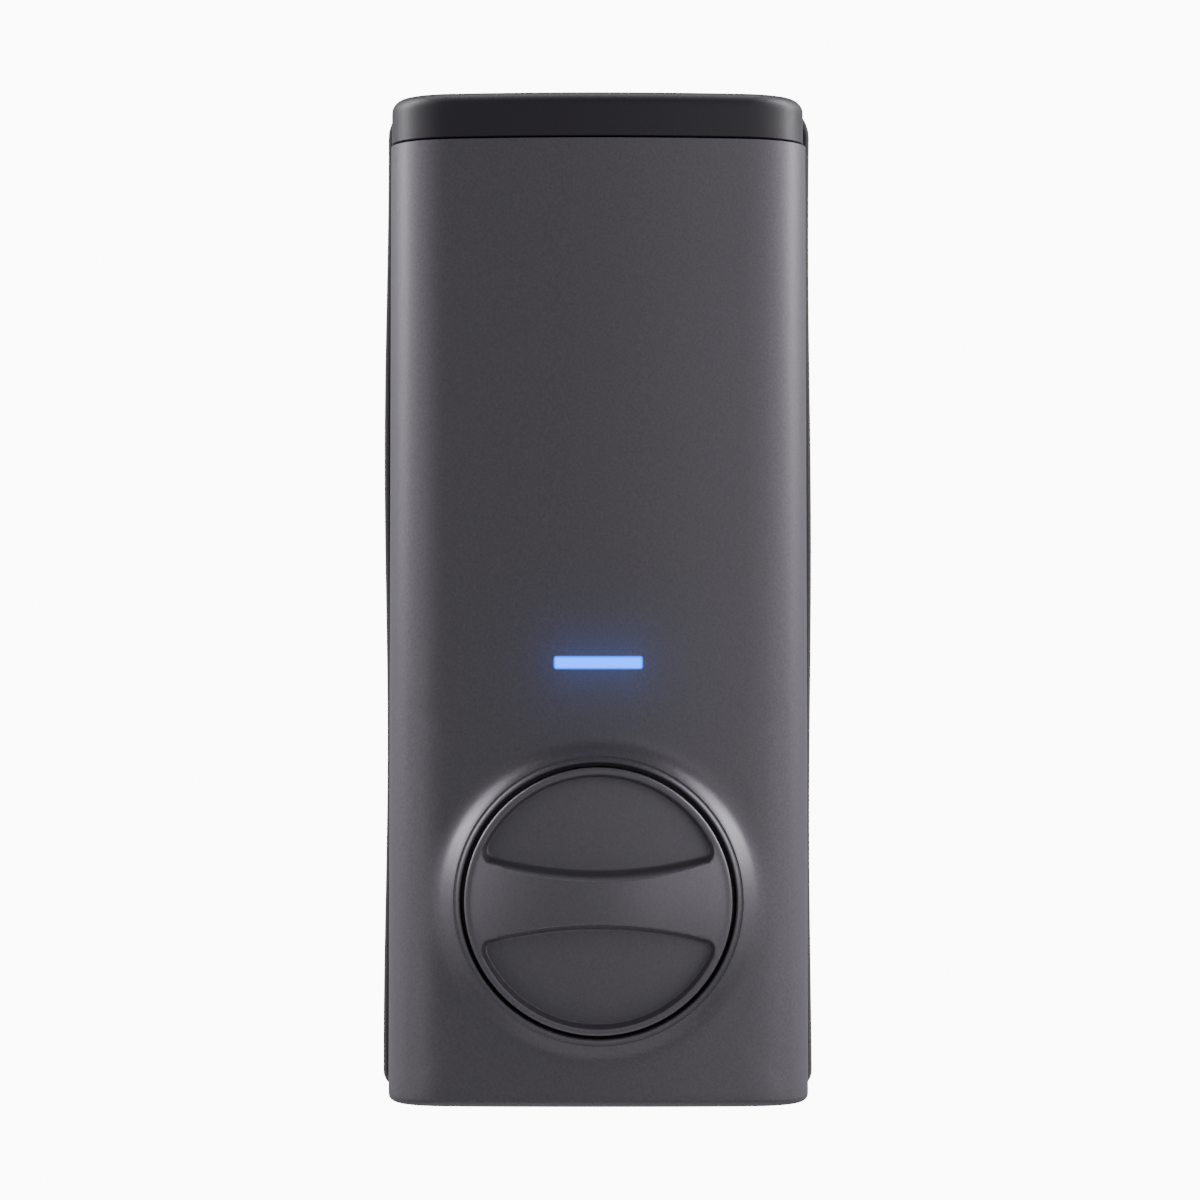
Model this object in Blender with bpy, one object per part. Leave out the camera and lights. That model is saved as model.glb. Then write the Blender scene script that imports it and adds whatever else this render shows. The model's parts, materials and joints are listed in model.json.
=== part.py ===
"""Inside unit of a motorised deadbolt: battery drawer, thumbturn, gear train, electronics and door plate.

The door's face is the plane y = 0 and the unit stands out from it towards -Y, with +Z up. The origin is the
middle of the mounting plate's back face. All sizes below are in millimetres, and part() turns every mesh
into metres as it is made.
"""
from math import acos, asin, atan2, cos, hypot, pi, radians, sin, sqrt, tan

import bmesh
import bpy
from mathutils import Matrix, Vector

MM = 0.001

# ---- driving dimensions, in millimetres ----
WIDTH_BOTTOM = 70.5         # the body narrows a little towards its top
WIDTH_TOP = 69.5
HALF_HEIGHT = 83.5
FRONT = -30.0               # middle line of the crowned front
CROWN = 150.0               # radius of the front, seen from above
CORNER = 12.0               # radius of the long vertical edges
WALL = 2.0
BACK_RIM = -2.3             # back edge of the cover and the cap
SEAM_LOW = 75.25            # top edge of the front cover
SEAM_HIGH = 75.55           # bottom edge of the cap
FIT = 0.3                   # gap between pieces that rest on each other

KNOB_Z = -50.0              # height of the thumbturn's axis
KNOB_RADIUS = 21.8
KNOB_RIM = -33.5
KNOB_APEX = -39.0
KNOB_FLOOR = -32.0          # bottom of the two finger pockets
BAR_HALF = 3.9              # half height of the grip bar at its middle
BAR_HOLLOW = 60.7           # radius of the grip bar's hollow sides
WELL_RADIUS = 22.7          # bore in the cover that the knob turns in
WELL_FLOOR = -26.5

CHASSIS = (-6.4, -4.6)      # front and back faces of the chassis plate
PLATE = (-2.0, 0.0)         # front and back faces of the mounting plate and the gasket
GASKET_HALF = 37.1          # half width of the rubber that shows beside the cover
GEAR_COVER = (-18.6, -17.2)
BOARD = (-21.0, -19.4)

PRESSURE = radians(25)      # pressure angle of all the gear teeth
BACKLASH = 0.1
CELL_RADIUS = 7.1
CELL_X = (-22.5, -7.5, 7.5, 22.5)
CELL_Y = -17.35

CABLE_HOLE = (-12.0, -34.0)
BOLT_X = 19.0               # the two through-bolts, level with the spindle
COVER_SCREWS = [(-28, 8), (28, 8), (-28, -66), (28, -66)]
BOARD_POSTS = [(-19, 8), (9, 8), (-22, -17.5), (6.5, -17.5)]
GEARBOX_POSTS = [(-19.5, -67.5), (17.5, -69), (-19.5, -27), (28.5, -24.5)]
CAP_SCREWS = [(-15, -12.05), (15, -12.05)]
RETAINING_X = 18.0
RETAINING_Y = -9.0
HOOK_X = 18.0
TERMINAL_X = 22.5           # the battery terminals, under the two outer cells
TERMINAL_Y = -15.0
LIGHT_Z = -11.0


for leftover in list(bpy.data.objects):
    bpy.data.objects.remove(leftover, do_unlink=True)


# ---- finishes ----
def finish(name, colour, roughness, metallic=0.0, glow=0.0):
    """A plain Principled material."""
    material = bpy.data.materials.new(name)
    material.use_nodes = True
    shader = material.node_tree.nodes["Principled BSDF"]
    shader.inputs["Base Color"].default_value = (*colour, 1.0)
    shader.inputs["Roughness"].default_value = roughness
    shader.inputs["Metallic"].default_value = metallic
    if glow:
        shader.inputs["Emission Color"].default_value = (*colour, 1.0)
        shader.inputs["Emission Strength"].default_value = glow
    return material


PAINT = finish("graphite_paint", (0.075, 0.072, 0.082), 0.38, 0.4)
SATIN_BLACK = finish("satin_black_plastic", (0.02, 0.019, 0.023), 0.35)
RUBBER = finish("grey_rubber", (0.06, 0.06, 0.062), 0.75)
NYLON = finish("dark_nylon", (0.03, 0.03, 0.032), 0.55)
ZINC = finish("zinc_steel", (0.55, 0.56, 0.58), 0.32, 1.0)
STEEL = finish("bright_steel", (0.62, 0.62, 0.63), 0.22, 1.0)
SINTERED = finish("sintered_steel", (0.27, 0.27, 0.28), 0.45, 1.0)
BRASS = finish("brass", (0.72, 0.55, 0.27), 0.28, 1.0)
BRONZE = finish("oiled_bronze", (0.42, 0.27, 0.13), 0.4, 1.0)
NICKEL = finish("nickel_plate", (0.66, 0.64, 0.6), 0.25, 1.0)
CIRCUIT = finish("green_circuit_board", (0.015, 0.12, 0.06), 0.4)
CHIP = finish("black_epoxy", (0.012, 0.012, 0.013), 0.5)
SHIELD = finish("tinned_shield", (0.58, 0.58, 0.56), 0.35, 1.0)
SOCKET = finish("cream_socket", (0.7, 0.66, 0.55), 0.5)
GUIDE = finish("blue_light_guide", (0.25, 0.55, 1.0), 0.3, 0.0, 3.0)
LED = finish("led_body", (0.8, 0.8, 0.7), 0.4)
MAGNET = finish("magnet_nickel", (0.5, 0.5, 0.5), 0.2, 1.0)
SLEEVE = finish("cell_sleeve", (0.09, 0.1, 0.11), 0.35, 0.3)
RED_LEAD = finish("red_lead", (0.5, 0.02, 0.02), 0.45)
BLACK_LEAD = finish("black_lead", (0.015, 0.015, 0.015), 0.45)


# ---- outlines, as lists of points in a plane ----
def arc(radius, start, end, steps, centre=(0.0, 0.0)):
    """Points on a circle, both ends included, angles in radians."""
    return [(centre[0] + radius * cos(start + (end - start) * k / steps),
             centre[1] + radius * sin(start + (end - start) * k / steps)) for k in range(steps + 1)]


def circle(radius, centre=(0.0, 0.0), segments=24):
    return arc(radius, 0, 2 * pi * (segments - 1) / segments, segments - 1, centre)


def rounded_rect(left, right, low, high, radius, steps=4):
    """A rectangle with rounded corners."""
    corners = [(right - radius, low + radius, -pi / 2), (right - radius, high - radius, 0),
               (left + radius, high - radius, pi / 2), (left + radius, low + radius, pi)]
    return [point for x, z, angle in corners for point in arc(radius, angle, angle + pi / 2, steps, (x, z))]


def rectangle(left, right, low, high):
    return [(left, low), (right, low), (right, high), (left, high)]


def half_width(z):
    """Half the body's width at a height."""
    share = (z + HALF_HEIGHT) / (2 * HALF_HEIGHT)
    return (WIDTH_BOTTOM + (WIDTH_TOP - WIDTH_BOTTOM) * share) / 2


def body_section(half, inset, back):
    """The body seen from above: flat back, straight sides, rounded corners and a crowned front."""
    middle = FRONT + CROWN
    corner_x = half - CORNER
    corner_y = middle - sqrt((CROWN - CORNER) ** 2 - corner_x ** 2)
    lean = asin(corner_x / (CROWN - CORNER))
    right = arc(CORNER - inset, 0, lean - pi / 2, 7, (corner_x, corner_y))
    front = arc(CROWN - inset, lean - pi / 2, -lean - pi / 2, 8, (0, middle))
    left = arc(CORNER - inset, -lean - pi / 2, -pi, 7, (-corner_x, corner_y))
    return [(half - inset, back)] + right + front[1:-1] + left + [(inset - half, back)]


def involute(angle):
    return tan(angle) - angle


def gear_outline(teeth, module, centre, tooth_at):
    """An involute gear with the middle of one tooth at the angle tooth_at."""
    pitch = teeth * module / 2
    base = pitch * cos(PRESSURE)
    root = pitch - 1.1 * module
    tip = pitch + 0.8 * module
    half_tooth = pi / (2 * teeth) - BACKLASH / (2 * pitch)
    radii = [root] + ([base] if base > root else []) + [pitch, tip]
    points = []
    for tooth in range(teeth):
        middle = tooth_at + 2 * pi * tooth / teeth
        flank = [(radius, half_tooth + involute(PRESSURE) - involute(acos(min(1.0, base / radius))))
                 for radius in radii]
        for side, ordered in ((-1, flank), (1, flank[::-1])):
            for radius, spread in ordered:
                angle = middle + side * spread
                points.append((centre[0] + radius * cos(angle), centre[1] + radius * sin(angle)))
    return points


# ---- solids, each a closed bmesh in millimetres ----
def place(a, b, along, axis):
    """A point of an outline at a station along an axis; a Y outline is (x, z), an X outline is (y, z)."""
    return {"X": (along, a, b), "Y": (a, along, b), "Z": (a, b, along)}[axis]


def prism(outline, low, high, holes=(), axis="Y"):
    """An outline with holes, extruded between two stations."""
    solid = bmesh.new()
    for loop in (outline, *holes):
        ring = [solid.verts.new(place(a, b, low, axis)) for a, b in loop]
        for first, second in zip(ring, ring[1:] + ring[:1]):
            solid.edges.new((first, second))
    bmesh.ops.triangle_fill(solid, edges=solid.edges[:], use_beauty=True)
    raised = bmesh.ops.extrude_face_region(solid, geom=solid.faces[:])["geom"]
    shift = Vector(place(0, 0, high - low, axis))
    bmesh.ops.translate(solid, vec=shift, verts=[v for v in raised if isinstance(v, bmesh.types.BMVert)])
    bmesh.ops.recalc_face_normals(solid, faces=solid.faces[:])
    return solid


def box(x, y, z):
    """A block between pairs of x, y and z."""
    return prism(rectangle(*x, *y), *z, axis="Z")


def turned(profile, centre=(0.0, 0.0), segments=24, axis="Y"):
    """A solid of revolution: the profile is a closed loop of (radius, station along the axis)."""
    solid = bmesh.new()
    rings = []
    for radius, along in profile:
        if radius == 0:
            rings.append([solid.verts.new(place(*centre, along, axis))] * segments)
        else:
            rings.append([solid.verts.new(place(*point, along, axis))
                          for point in circle(radius, centre, segments)])
    for ring, following in zip(rings, rings[1:] + rings[:1]):
        for k in range(segments):
            after = (k + 1) % segments
            corners = list(dict.fromkeys([ring[k], ring[after], following[after], following[k]]))
            if len(corners) > 2:
                solid.faces.new(corners)
    bmesh.ops.recalc_face_normals(solid, faces=solid.faces[:])
    return solid


def rod(radius, low, high, centre=(0.0, 0.0), segments=24, axis="Y"):
    return turned([(0, low), (radius, low), (radius, high), (0, high)], centre, segments, axis)


def tube(inner, outer, low, high, centre=(0.0, 0.0), segments=32, axis="Y"):
    return turned([(inner, low), (outer, low), (outer, high), (inner, high)], centre, segments, axis)


def screw(head, shaft, tip, under_head, top, centre, axis="Y"):
    """A pan-head screw whose shaft runs from under the head to its tip."""
    return turned([(0, tip), (shaft, tip), (shaft, under_head), (head, under_head),
                   (head, (under_head + 3 * top) / 4), (0.8 * head, top), (0, top)], centre, 16, axis)


def loft(levels):
    """A solid through closed rings of points, all with the same number of points."""
    solid = bmesh.new()
    rings = [[solid.verts.new(point) for point in level] for level in levels]
    for ring, following in zip(rings, rings[1:]):
        for k in range(len(ring)):
            after = (k + 1) % len(ring)
            solid.faces.new([ring[k], ring[after], following[after], following[k]])
    solid.faces.new(rings[0])
    solid.faces.new(rings[-1])
    bmesh.ops.recalc_face_normals(solid, faces=solid.faces[:])
    return solid


def body_level(z, inset, back, width_at=None):
    """One ring of the body's outside, or of its hollow, at a height."""
    half = half_width(z if width_at is None else width_at)
    return [(x, y, z) for x, y in body_section(half, inset, back)]


def group(solids):
    """Several separate solids in one mesh."""
    joined = bmesh.new()
    for solid in solids:
        scratch = bpy.data.meshes.new("scratch")
        solid.to_mesh(scratch)
        joined.from_mesh(scratch)
        bpy.data.meshes.remove(scratch)
        solid.free()
    return joined


# ---- objects ----
def empty(name, x, z):
    """An empty on a joint's axis, for the pieces that turn or slide together."""
    axis = bpy.data.objects.new(name, None)
    axis.location = (x * MM, 0, z * MM)
    bpy.context.collection.objects.link(axis)
    return axis


def mesh_object(name, solid, shift=Vector()):
    solid.transform(Matrix.Scale(MM, 4))
    bmesh.ops.translate(solid, vec=-shift, verts=solid.verts[:])
    mesh = bpy.data.meshes.new(name)
    solid.to_mesh(mesh)
    solid.free()
    mesh.shade_smooth()
    mesh.set_sharp_from_angle(angle=radians(30))
    made = bpy.data.objects.new(name, mesh)
    bpy.context.collection.objects.link(made)
    return made


def part(name, solid, material, axis=None, add=(), cut=()):
    """One piece: its first solid, the solids joined to it and the solids cut from it."""
    made = mesh_object(name, solid, axis.location if axis else Vector())
    made.data.materials.append(material)
    made.parent = axis
    for tool in add:
        combine(made, tool, "UNION")
    for tool in cut:
        combine(made, tool, "DIFFERENCE")
    return made


def combine(made, tool, operation):
    """Join a helper solid to a piece, or cut it away; the helper stays hidden in the file."""
    helper = mesh_object(f"{made.name}_{operation.lower()}_{len(made.modifiers) + 1}", tool)
    helper.hide_render = True
    helper.display_type = "WIRE"
    boolean = made.modifiers.new(helper.name, "BOOLEAN")
    boolean.operation = operation
    boolean.solver = "EXACT"
    boolean.object = helper


def wire(name, route, thickness, material, axis=None, sides=2):
    """Round wire along a list of points, with closed ends."""
    shift = axis.location if axis else Vector()
    curve = bpy.data.curves.new(name, "CURVE")
    curve.dimensions = "3D"
    curve.bevel_depth = thickness / 2 * MM
    curve.bevel_resolution = sides
    curve.use_fill_caps = True
    spline = curve.splines.new("POLY")
    spline.points.add(len(route) - 1)
    for point, position in zip(spline.points, route):
        point.co = (*(Vector(position) * MM - shift), 1)
    made = bpy.data.objects.new(name, curve)
    made.data.materials.append(material)
    made.parent = axis
    bpy.context.collection.objects.link(made)
    return made


def smooth_route(points, steps=5):
    """A smooth curve through a few points (Catmull-Rom)."""
    knots = [Vector(point) for point in points]
    knots = [2 * knots[0] - knots[1]] + knots + [2 * knots[-1] - knots[-2]]
    route = []
    for a, b, c, d in zip(knots, knots[1:], knots[2:], knots[3:]):
        for k in range(steps):
            t = k / steps
            route.append(((2 * b) + (c - a) * t + (2 * a - 5 * b + 4 * c - d) * t ** 2
                          + (3 * b - a - 3 * c + d) * t ** 3) / 2)
    return route + [knots[-2]]


# ---- gear centres and phases ----
OUTPUT_TEETH, OUTPUT_MODULE = 44, 0.8
B_WHEEL_TEETH, B_PINION_TEETH, B_MODULE = 26, 12, 0.7
A_WHEEL_TEETH, A_PINION_TEETH, A_MODULE = 26, 10, 0.6
MOTOR_TEETH = 10

SPINDLE = (0.0, KNOB_Z)
MOTOR = (19.0, -15.0)
B_REACH = (OUTPUT_TEETH + B_PINION_TEETH) * OUTPUT_MODULE / 2      # spindle to gear b
A_REACH = (B_WHEEL_TEETH + A_PINION_TEETH) * B_MODULE / 2          # gear b to gear a
M_REACH = (A_WHEEL_TEETH + MOTOR_TEETH) * A_MODULE / 2             # gear a to the motor
GEAR_B_ANGLE = radians(32.2)                                       # gear b seen from the spindle


def polar(centre, reach, angle):
    return (centre[0] + reach * cos(angle), centre[1] + reach * sin(angle))


def bearing(start, end):
    """Angle of the line from one centre to another."""
    return atan2(end[1] - start[1], end[0] - start[0])


def meeting_point(first, first_reach, second, second_reach):
    """Where two circles cross, on the left side of the line from the first centre to the second."""
    span = hypot(second[0] - first[0], second[1] - first[1])
    opening = acos((first_reach ** 2 + span ** 2 - second_reach ** 2) / (2 * first_reach * span))
    return polar(first, first_reach, bearing(first, second) + opening)


GEAR_B = polar(SPINDLE, B_REACH, GEAR_B_ANGLE)
GEAR_A = meeting_point(GEAR_B, A_REACH, MOTOR, M_REACH)

# stations of the three gear layers along the axes, front face first
OUTPUT_LAYER = (-16.6, -12.9)
MIDDLE_LAYER = (-12.3, -9.9)
REAR_LAYER = (-9.3, -6.9)

knob_axis = empty("knob_axis", *SPINDLE)
gear_b_axis = empty("gear_b_axis", *GEAR_B)
gear_a_axis = empty("gear_a_axis", *GEAR_A)
motor_axis = empty("motor_axis", *MOTOR)
drawer_axis = empty("drawer_axis", 0, 0)


# ---- housing ----
def front_cover():
    """Crowned shell, open at the back and the top, with the knob's well and collar."""
    rounding = 1.8
    bottom = [(-HALF_HEIGHT + rounding * (1 - cos(a)), rounding * (1 - sin(a)))
              for a in (0, pi / 6, pi / 3, pi / 2)]
    shell = loft([body_level(z, inset, BACK_RIM) for z, inset in bottom]
                 + [body_level(SEAM_LOW, 0, BACK_RIM)])
    hollow = loft([body_level(WALL - HALF_HEIGHT, WALL, 2, -HALF_HEIGHT), body_level(SEAM_LOW + 2, WALL, 2)])
    flare = [(23.4, -32.0), (24.0, -31.35), (25.0, -30.75), (26.4, -30.25), (28.3, -29.8), (30.0, -27.0)]
    collar = turned([(0, -32.0)] + flare + [(30.0, -26.0), (WELL_RADIUS + 1.8, -26.0),
                                             (WELL_RADIUS + 1.8, WELL_FLOOR + 1.5), (0, WELL_FLOOR + 1.5)],
                    SPINDLE, 56)
    well = turned([(0, -35), (WELL_RADIUS, -35), (WELL_RADIUS, WELL_FLOOR), (12, WELL_FLOOR),
                   (12, WELL_FLOOR + 4), (0, WELL_FLOOR + 4)], SPINDLE, 56)
    posts = group([rod(2.8, -24.4, CHASSIS[0] - FIT, centre) for centre in COVER_SCREWS]
                  + [rod(4.5, 1 - HALF_HEIGHT, 4 - HALF_HEIGHT, (x, RETAINING_Y), axis="Z")
                     for x in (-RETAINING_X, RETAINING_X)])
    pilots = group([rod(1.35, -19, -5, centre, 12) for centre in COVER_SCREWS]
                   + [turned([(0, -HALF_HEIGHT - 1), (3.0, -HALF_HEIGHT - 1), (3.0, 2.2 - HALF_HEIGHT),
                              (1.7, 2.2 - HALF_HEIGHT), (1.7, 6 - HALF_HEIGHT), (0, 6 - HALF_HEIGHT)],
                             (x, RETAINING_Y), 20, "Z") for x in (-RETAINING_X, RETAINING_X)])
    window = box((-7.45, 7.45), (-32, -26), (LIGHT_Z - 1.15, LIGHT_Z + 1.15))
    made = part("front_cover", shell, PAINT, cut=[hollow])
    combine(made, group([collar, posts]), "UNION")
    combine(made, group([well, pilots, window]), "DIFFERENCE")


def chassis():
    """Back plate with the posts, the motor cradle and the shelf under the battery drawer."""
    front, back = CHASSIS
    holes = [circle(8.7, SPINDLE, 28), circle(6.0, CABLE_HOLE)]
    holes += [circle(5.5, (x, KNOB_Z)) for x in (-BOLT_X, BOLT_X)]
    holes += [circle(1.6, centre, 12) for centre in COVER_SCREWS]
    holes += [circle(1.15, centre, 10) for centre in (GEAR_A, GEAR_B)]
    holes += [rectangle(x - 4.8, x + 4.8, 55.0, 61.9) for x in (-HOOK_X, HOOK_X)]
    plate = prism(rounded_rect(-32.3, 32.3, -73.3, 74.8, 5), front, back, holes)
    shelf = prism([(-31.5, front + 1), (-31.5, -19), (-28, -23.5), (28, -23.5), (31.5, -19),
                   (31.5, front + 1)],
                  12.8, 15.0, [rectangle(x - 1.2, x + 1.2, TERMINAL_Y - 0.6, TERMINAL_Y + 0.6)
                               for x in (-TERMINAL_X, TERMINAL_X)], "Z")
    posts = group([rod(2.2, BOARD[1] + FIT, front + 0.5, centre, 16) for centre in BOARD_POSTS]
                  + [rod(2.4, GEAR_COVER[1] + FIT, front + 0.5, centre, 16) for centre in GEARBOX_POSTS])
    pilots = group([rod(1.25, -20, -9, centre, 10) for centre in BOARD_POSTS + GEARBOX_POSTS])
    cradle = group([box((left, right), (-21, front + 0.5), (MOTOR[1] - 3, MOTOR[1] + 4))
                    for left, right in ((11.2, 12.7), (25.3, 26.8))])
    rests = group([box((left, right), (-9.9, front + 0.3), (MOTOR[1] + 1.5, MOTOR[1] + 3.9))
                   for left, right in ((12.0, 15.0), (23.0, 26.0))])
    part("chassis", plate, NYLON, add=[shelf, posts, cradle, rests], cut=[pilots])


def mounting_plate():
    """Steel plate fixed to the door, with two hooks at the top and a threaded tab at the bottom."""
    holes = [circle(9.0, SPINDLE, 28), circle(6.5, CABLE_HOLE), circle(2.2, (0, 40), 16)]
    holes += [circle(3.1, (x, KNOB_Z), 16) for x in (-BOLT_X, BOLT_X)]
    plate = prism(rounded_rect(-25, 25, -76, 74, 4), *PLATE, holes)
    hooks = group([prism([(PLATE[0] + 1, 60.0), (-8.2, 60.0), (-8.2, 66.0), (-6.9, 66.0), (-6.9, 61.6),
                          (PLATE[0] + 1, 61.6)], x - 4, x + 4, axis="X") for x in (-HOOK_X, HOOK_X)])
    tab = prism(rectangle(-24, 24, -13, PLATE[0] + 1), -76, -74,
                [circle(1.65, (x, RETAINING_Y), 12) for x in (-RETAINING_X, RETAINING_X)], "Z")
    part("mounting_plate", plate, ZINC, add=[hooks, tab])


def door_gasket():
    """Rubber ring round the mounting plate, flush with its back."""
    part("door_gasket", prism(rounded_rect(-GASKET_HALF, GASKET_HALF, -84.75, 84.75, 4), *PLATE,
                              [rounded_rect(-26, 26, -77, 75, 4)]), RUBBER)


def light_guide():
    bar = prism(rounded_rect(-7.3, 7.3, LIGHT_Z - 1, LIGHT_Z + 1, 0.6, 2), -29.85, -22.8)
    flange = prism(rounded_rect(-8.5, 8.5, LIGHT_Z - 2, LIGHT_Z + 2, 0.8, 2), -27.4, -26.2)
    part("light_guide", bar, GUIDE, add=[flange])


def electronics():
    """The main board and everything soldered to it."""
    front, back = BOARD
    on_board = front - FIT
    outline = rounded_rect(-24.5, 10.8, -24, 11, 1.5, 2)
    part("main_board", prism(outline, front, back, [circle(1.3, c, 10) for c in BOARD_POSTS]), CIRCUIT)
    part("status_led_strip", box((-6, 6), (on_board - 0.9, on_board), (LIGHT_Z - 0.7, LIGHT_Z + 0.7)), LED)
    part("processor", box((-18, -10), (on_board - 0.9, on_board), (-6, 2)), CHIP)
    part("radio_module", box((-6, 4), (on_board - 2.0, on_board), (-7, 1.5)), SHIELD)
    part("buzzer", turned([(0, -19.1), (4.5, -19.1), (4.5, -15.3), (1.0, -15.3), (1.0, -16.3), (0, -16.3)],
                          (-16, -4), 20), CHIP)
    part("keypad_socket", box((-19, -9), (-19.1, -13.6), (-20.5, -14.5)), SOCKET,
         cut=[box((-18, -10), (-17.6, -12), (-19.5, -15.5))])


def sensors():
    """Curved board in front of the gears, and three sensors that read where the magnet is."""
    start, end = radians(25), radians(155)
    outline = arc(16.5, start, end, 14, SPINDLE) + arc(9.8, end, start, 10, SPINDLE)
    part("sensor_board", prism(outline, -20.0, -19.0), CIRCUIT)
    for number, angle in enumerate((45, 90, 135), 1):
        x, z = polar(SPINDLE, 13, radians(angle))
        part(f"hall_sensor_{number}", box((x - 1.3, x + 1.3), (-21.2, -20.3), (z - 0.8, z + 0.8)), CHIP)


def drive():
    """Motor, gearbox cover, axles and the spindle's two bushes."""
    x, z = MOTOR
    can = prism(rounded_rect(x - 6, x + 6, z - 5, z + 5, 3.5, 4), -25.3, -10.2)
    part("motor", can, SHIELD, add=[rod(2.0, -11, -9.75, MOTOR, 16)], cut=[rod(0.9, -13, -9, MOTOR, 12)])
    part("motor_shaft", rod(0.75, -12.6, -6.75, MOTOR, 12), STEEL, motor_axis)
    outline = [(-23, -72), (20, -72), (24.3, -62), (24.3, -52), (31, -46), (31, -21.5), (-23, -21.5)]
    holes = [circle(7.6, SPINDLE, 28)] + [circle(1.3, centre, 10) for centre in GEARBOX_POSTS]
    holes += [circle(1.15, centre, 10) for centre in (GEAR_A, GEAR_B)]
    part("gearbox_cover", prism(outline, *GEAR_COVER, holes), NYLON)
    for name, centre in (("axle_a", GEAR_A), ("axle_b", GEAR_B)):
        part(name, rod(1.0, -18.3, -4.9, centre, 12), STEEL)
    part("spindle_bush_front", tube(5.15, 7.4, -18.8, -16.95, SPINDLE), BRONZE)
    part("spindle_bush_rear", tube(6.65, 8.5, -6.6, -4.4, SPINDLE), BRONZE)


def fixings():
    """Screws that hold the cover on the chassis, and the two that lock the unit on its plate."""
    for number, centre in enumerate(COVER_SCREWS, 1):
        part(f"cover_screw_{number}", screw(2.6, 1.2, -17, -4.3, -2.6, centre), ZINC)
    for number, x in enumerate((-RETAINING_X, RETAINING_X), 1):
        part(f"retaining_screw_{number}", screw(2.7, 1.45, -72.5, -81.5, -83.2, (x, RETAINING_Y), "Z"), ZINC)


# ---- thumbturn ----
def pocket(side, inset, z_shift=KNOB_Z):
    """One finger pocket seen from the front: inside the rim's circle, and hollow towards the bar."""
    rim = KNOB_RADIUS - 1.0 - inset
    hollow = BAR_HOLLOW - inset
    hollow_z = BAR_HALF + BAR_HOLLOW
    corner_z = (rim ** 2 - hollow ** 2 + hollow_z ** 2) / (2 * hollow_z)
    corner_x = sqrt(rim ** 2 - corner_z ** 2)
    lift = atan2(corner_z, corner_x)
    sweep = atan2(corner_x, hollow_z - corner_z)
    top = arc(rim, lift, pi - lift, 18)
    under = arc(hollow, -pi / 2 - sweep, -pi / 2 + sweep, 12, (0, hollow_z))[1:-1]
    return [(x, side * z + z_shift) for x, z in top + under]


def knob():
    """Domed disc with two finger pockets that leave a grip bar, on a hub with a square socket."""
    dome = ((KNOB_RADIUS - 0.9) ** 2 + (KNOB_RIM - KNOB_APEX) ** 2) / (2 * (KNOB_RIM - KNOB_APEX))
    crown = [(r, KNOB_APEX + dome - sqrt(dome ** 2 - r ** 2))
             for r in (0, 5, 10, 15, 18.5, KNOB_RADIUS - 0.9)]
    body = turned(crown + [(KNOB_RADIUS - 0.5, KNOB_RIM), (KNOB_RADIUS, KNOB_RIM + 0.5), (KNOB_RADIUS, -27.0),
                           (KNOB_RADIUS - 2, -27.0), (KNOB_RADIUS - 2, -30.0), (8.0, -30.0), (8.0, -20.2),
                           (0, -20.2)], SPINDLE, 64)
    pockets = group([loft([[(x, y, z) for x, z in pocket(side, inset)]
                           for y, inset in ((-41, -0.75), (KNOB_FLOOR, 0.15))]) for side in (-1, 1)])
    socket = prism(rectangle(-3.65, 3.65, KNOB_Z - 3.65, KNOB_Z + 3.65), -29.4, -19)
    thread = rod(1.7, -34.2, -28, SPINDLE, 14)
    part("knob", body, PAINT, knob_axis, cut=[pockets, socket, thread])


def spindle_group():
    """Spindle, output gear and what holds them to the thumbturn."""
    journal = turned([(0, -1.5), (6.5, -1.5), (6.5, -12.6), (0, -12.6)], SPINDLE, 28)
    square = prism(rectangle(-5, 5, KNOB_Z - 5, KNOB_Z + 5), -16.75, -12.0)
    neck = rod(5.0, -19.95, -16.0, SPINDLE, 24)
    drive_end = prism(rectangle(-3.5, 3.5, KNOB_Z - 3.5, KNOB_Z + 3.5), -29.0, -19.0)
    slot = prism(rectangle(-4.2, 4.2, KNOB_Z - 2.3, KNOB_Z + 2.3), -14.8, 0)
    part("spindle", journal, ZINC, knob_axis, add=[square, neck, drive_end],
         cut=[slot, rod(1.75, -30, -14, SPINDLE, 14)])
    teeth = gear_outline(OUTPUT_TEETH, OUTPUT_MODULE, SPINDLE, GEAR_B_ANGLE)
    bore = rectangle(-5.15, 5.15, KNOB_Z - 5.15, KNOB_Z + 5.15)
    part("output_gear", prism(teeth, *OUTPUT_LAYER, [bore]), SINTERED, knob_axis,
         cut=[rod(2.15, -18, -14.3, (0, KNOB_Z + 13), 14)])
    part("position_magnet", rod(2.0, -16.5, -14.5, (0, KNOB_Z + 13), 14), MAGNET, knob_axis)
    part("knob_screw", screw(2.1, 1.55, -33.8, -14.6, -13.0, SPINDLE), ZINC, knob_axis)
    part("retaining_ring", tube(5.15, 7.0, -19.7, -19.1, SPINDLE, 24), STEEL, knob_axis)


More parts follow.
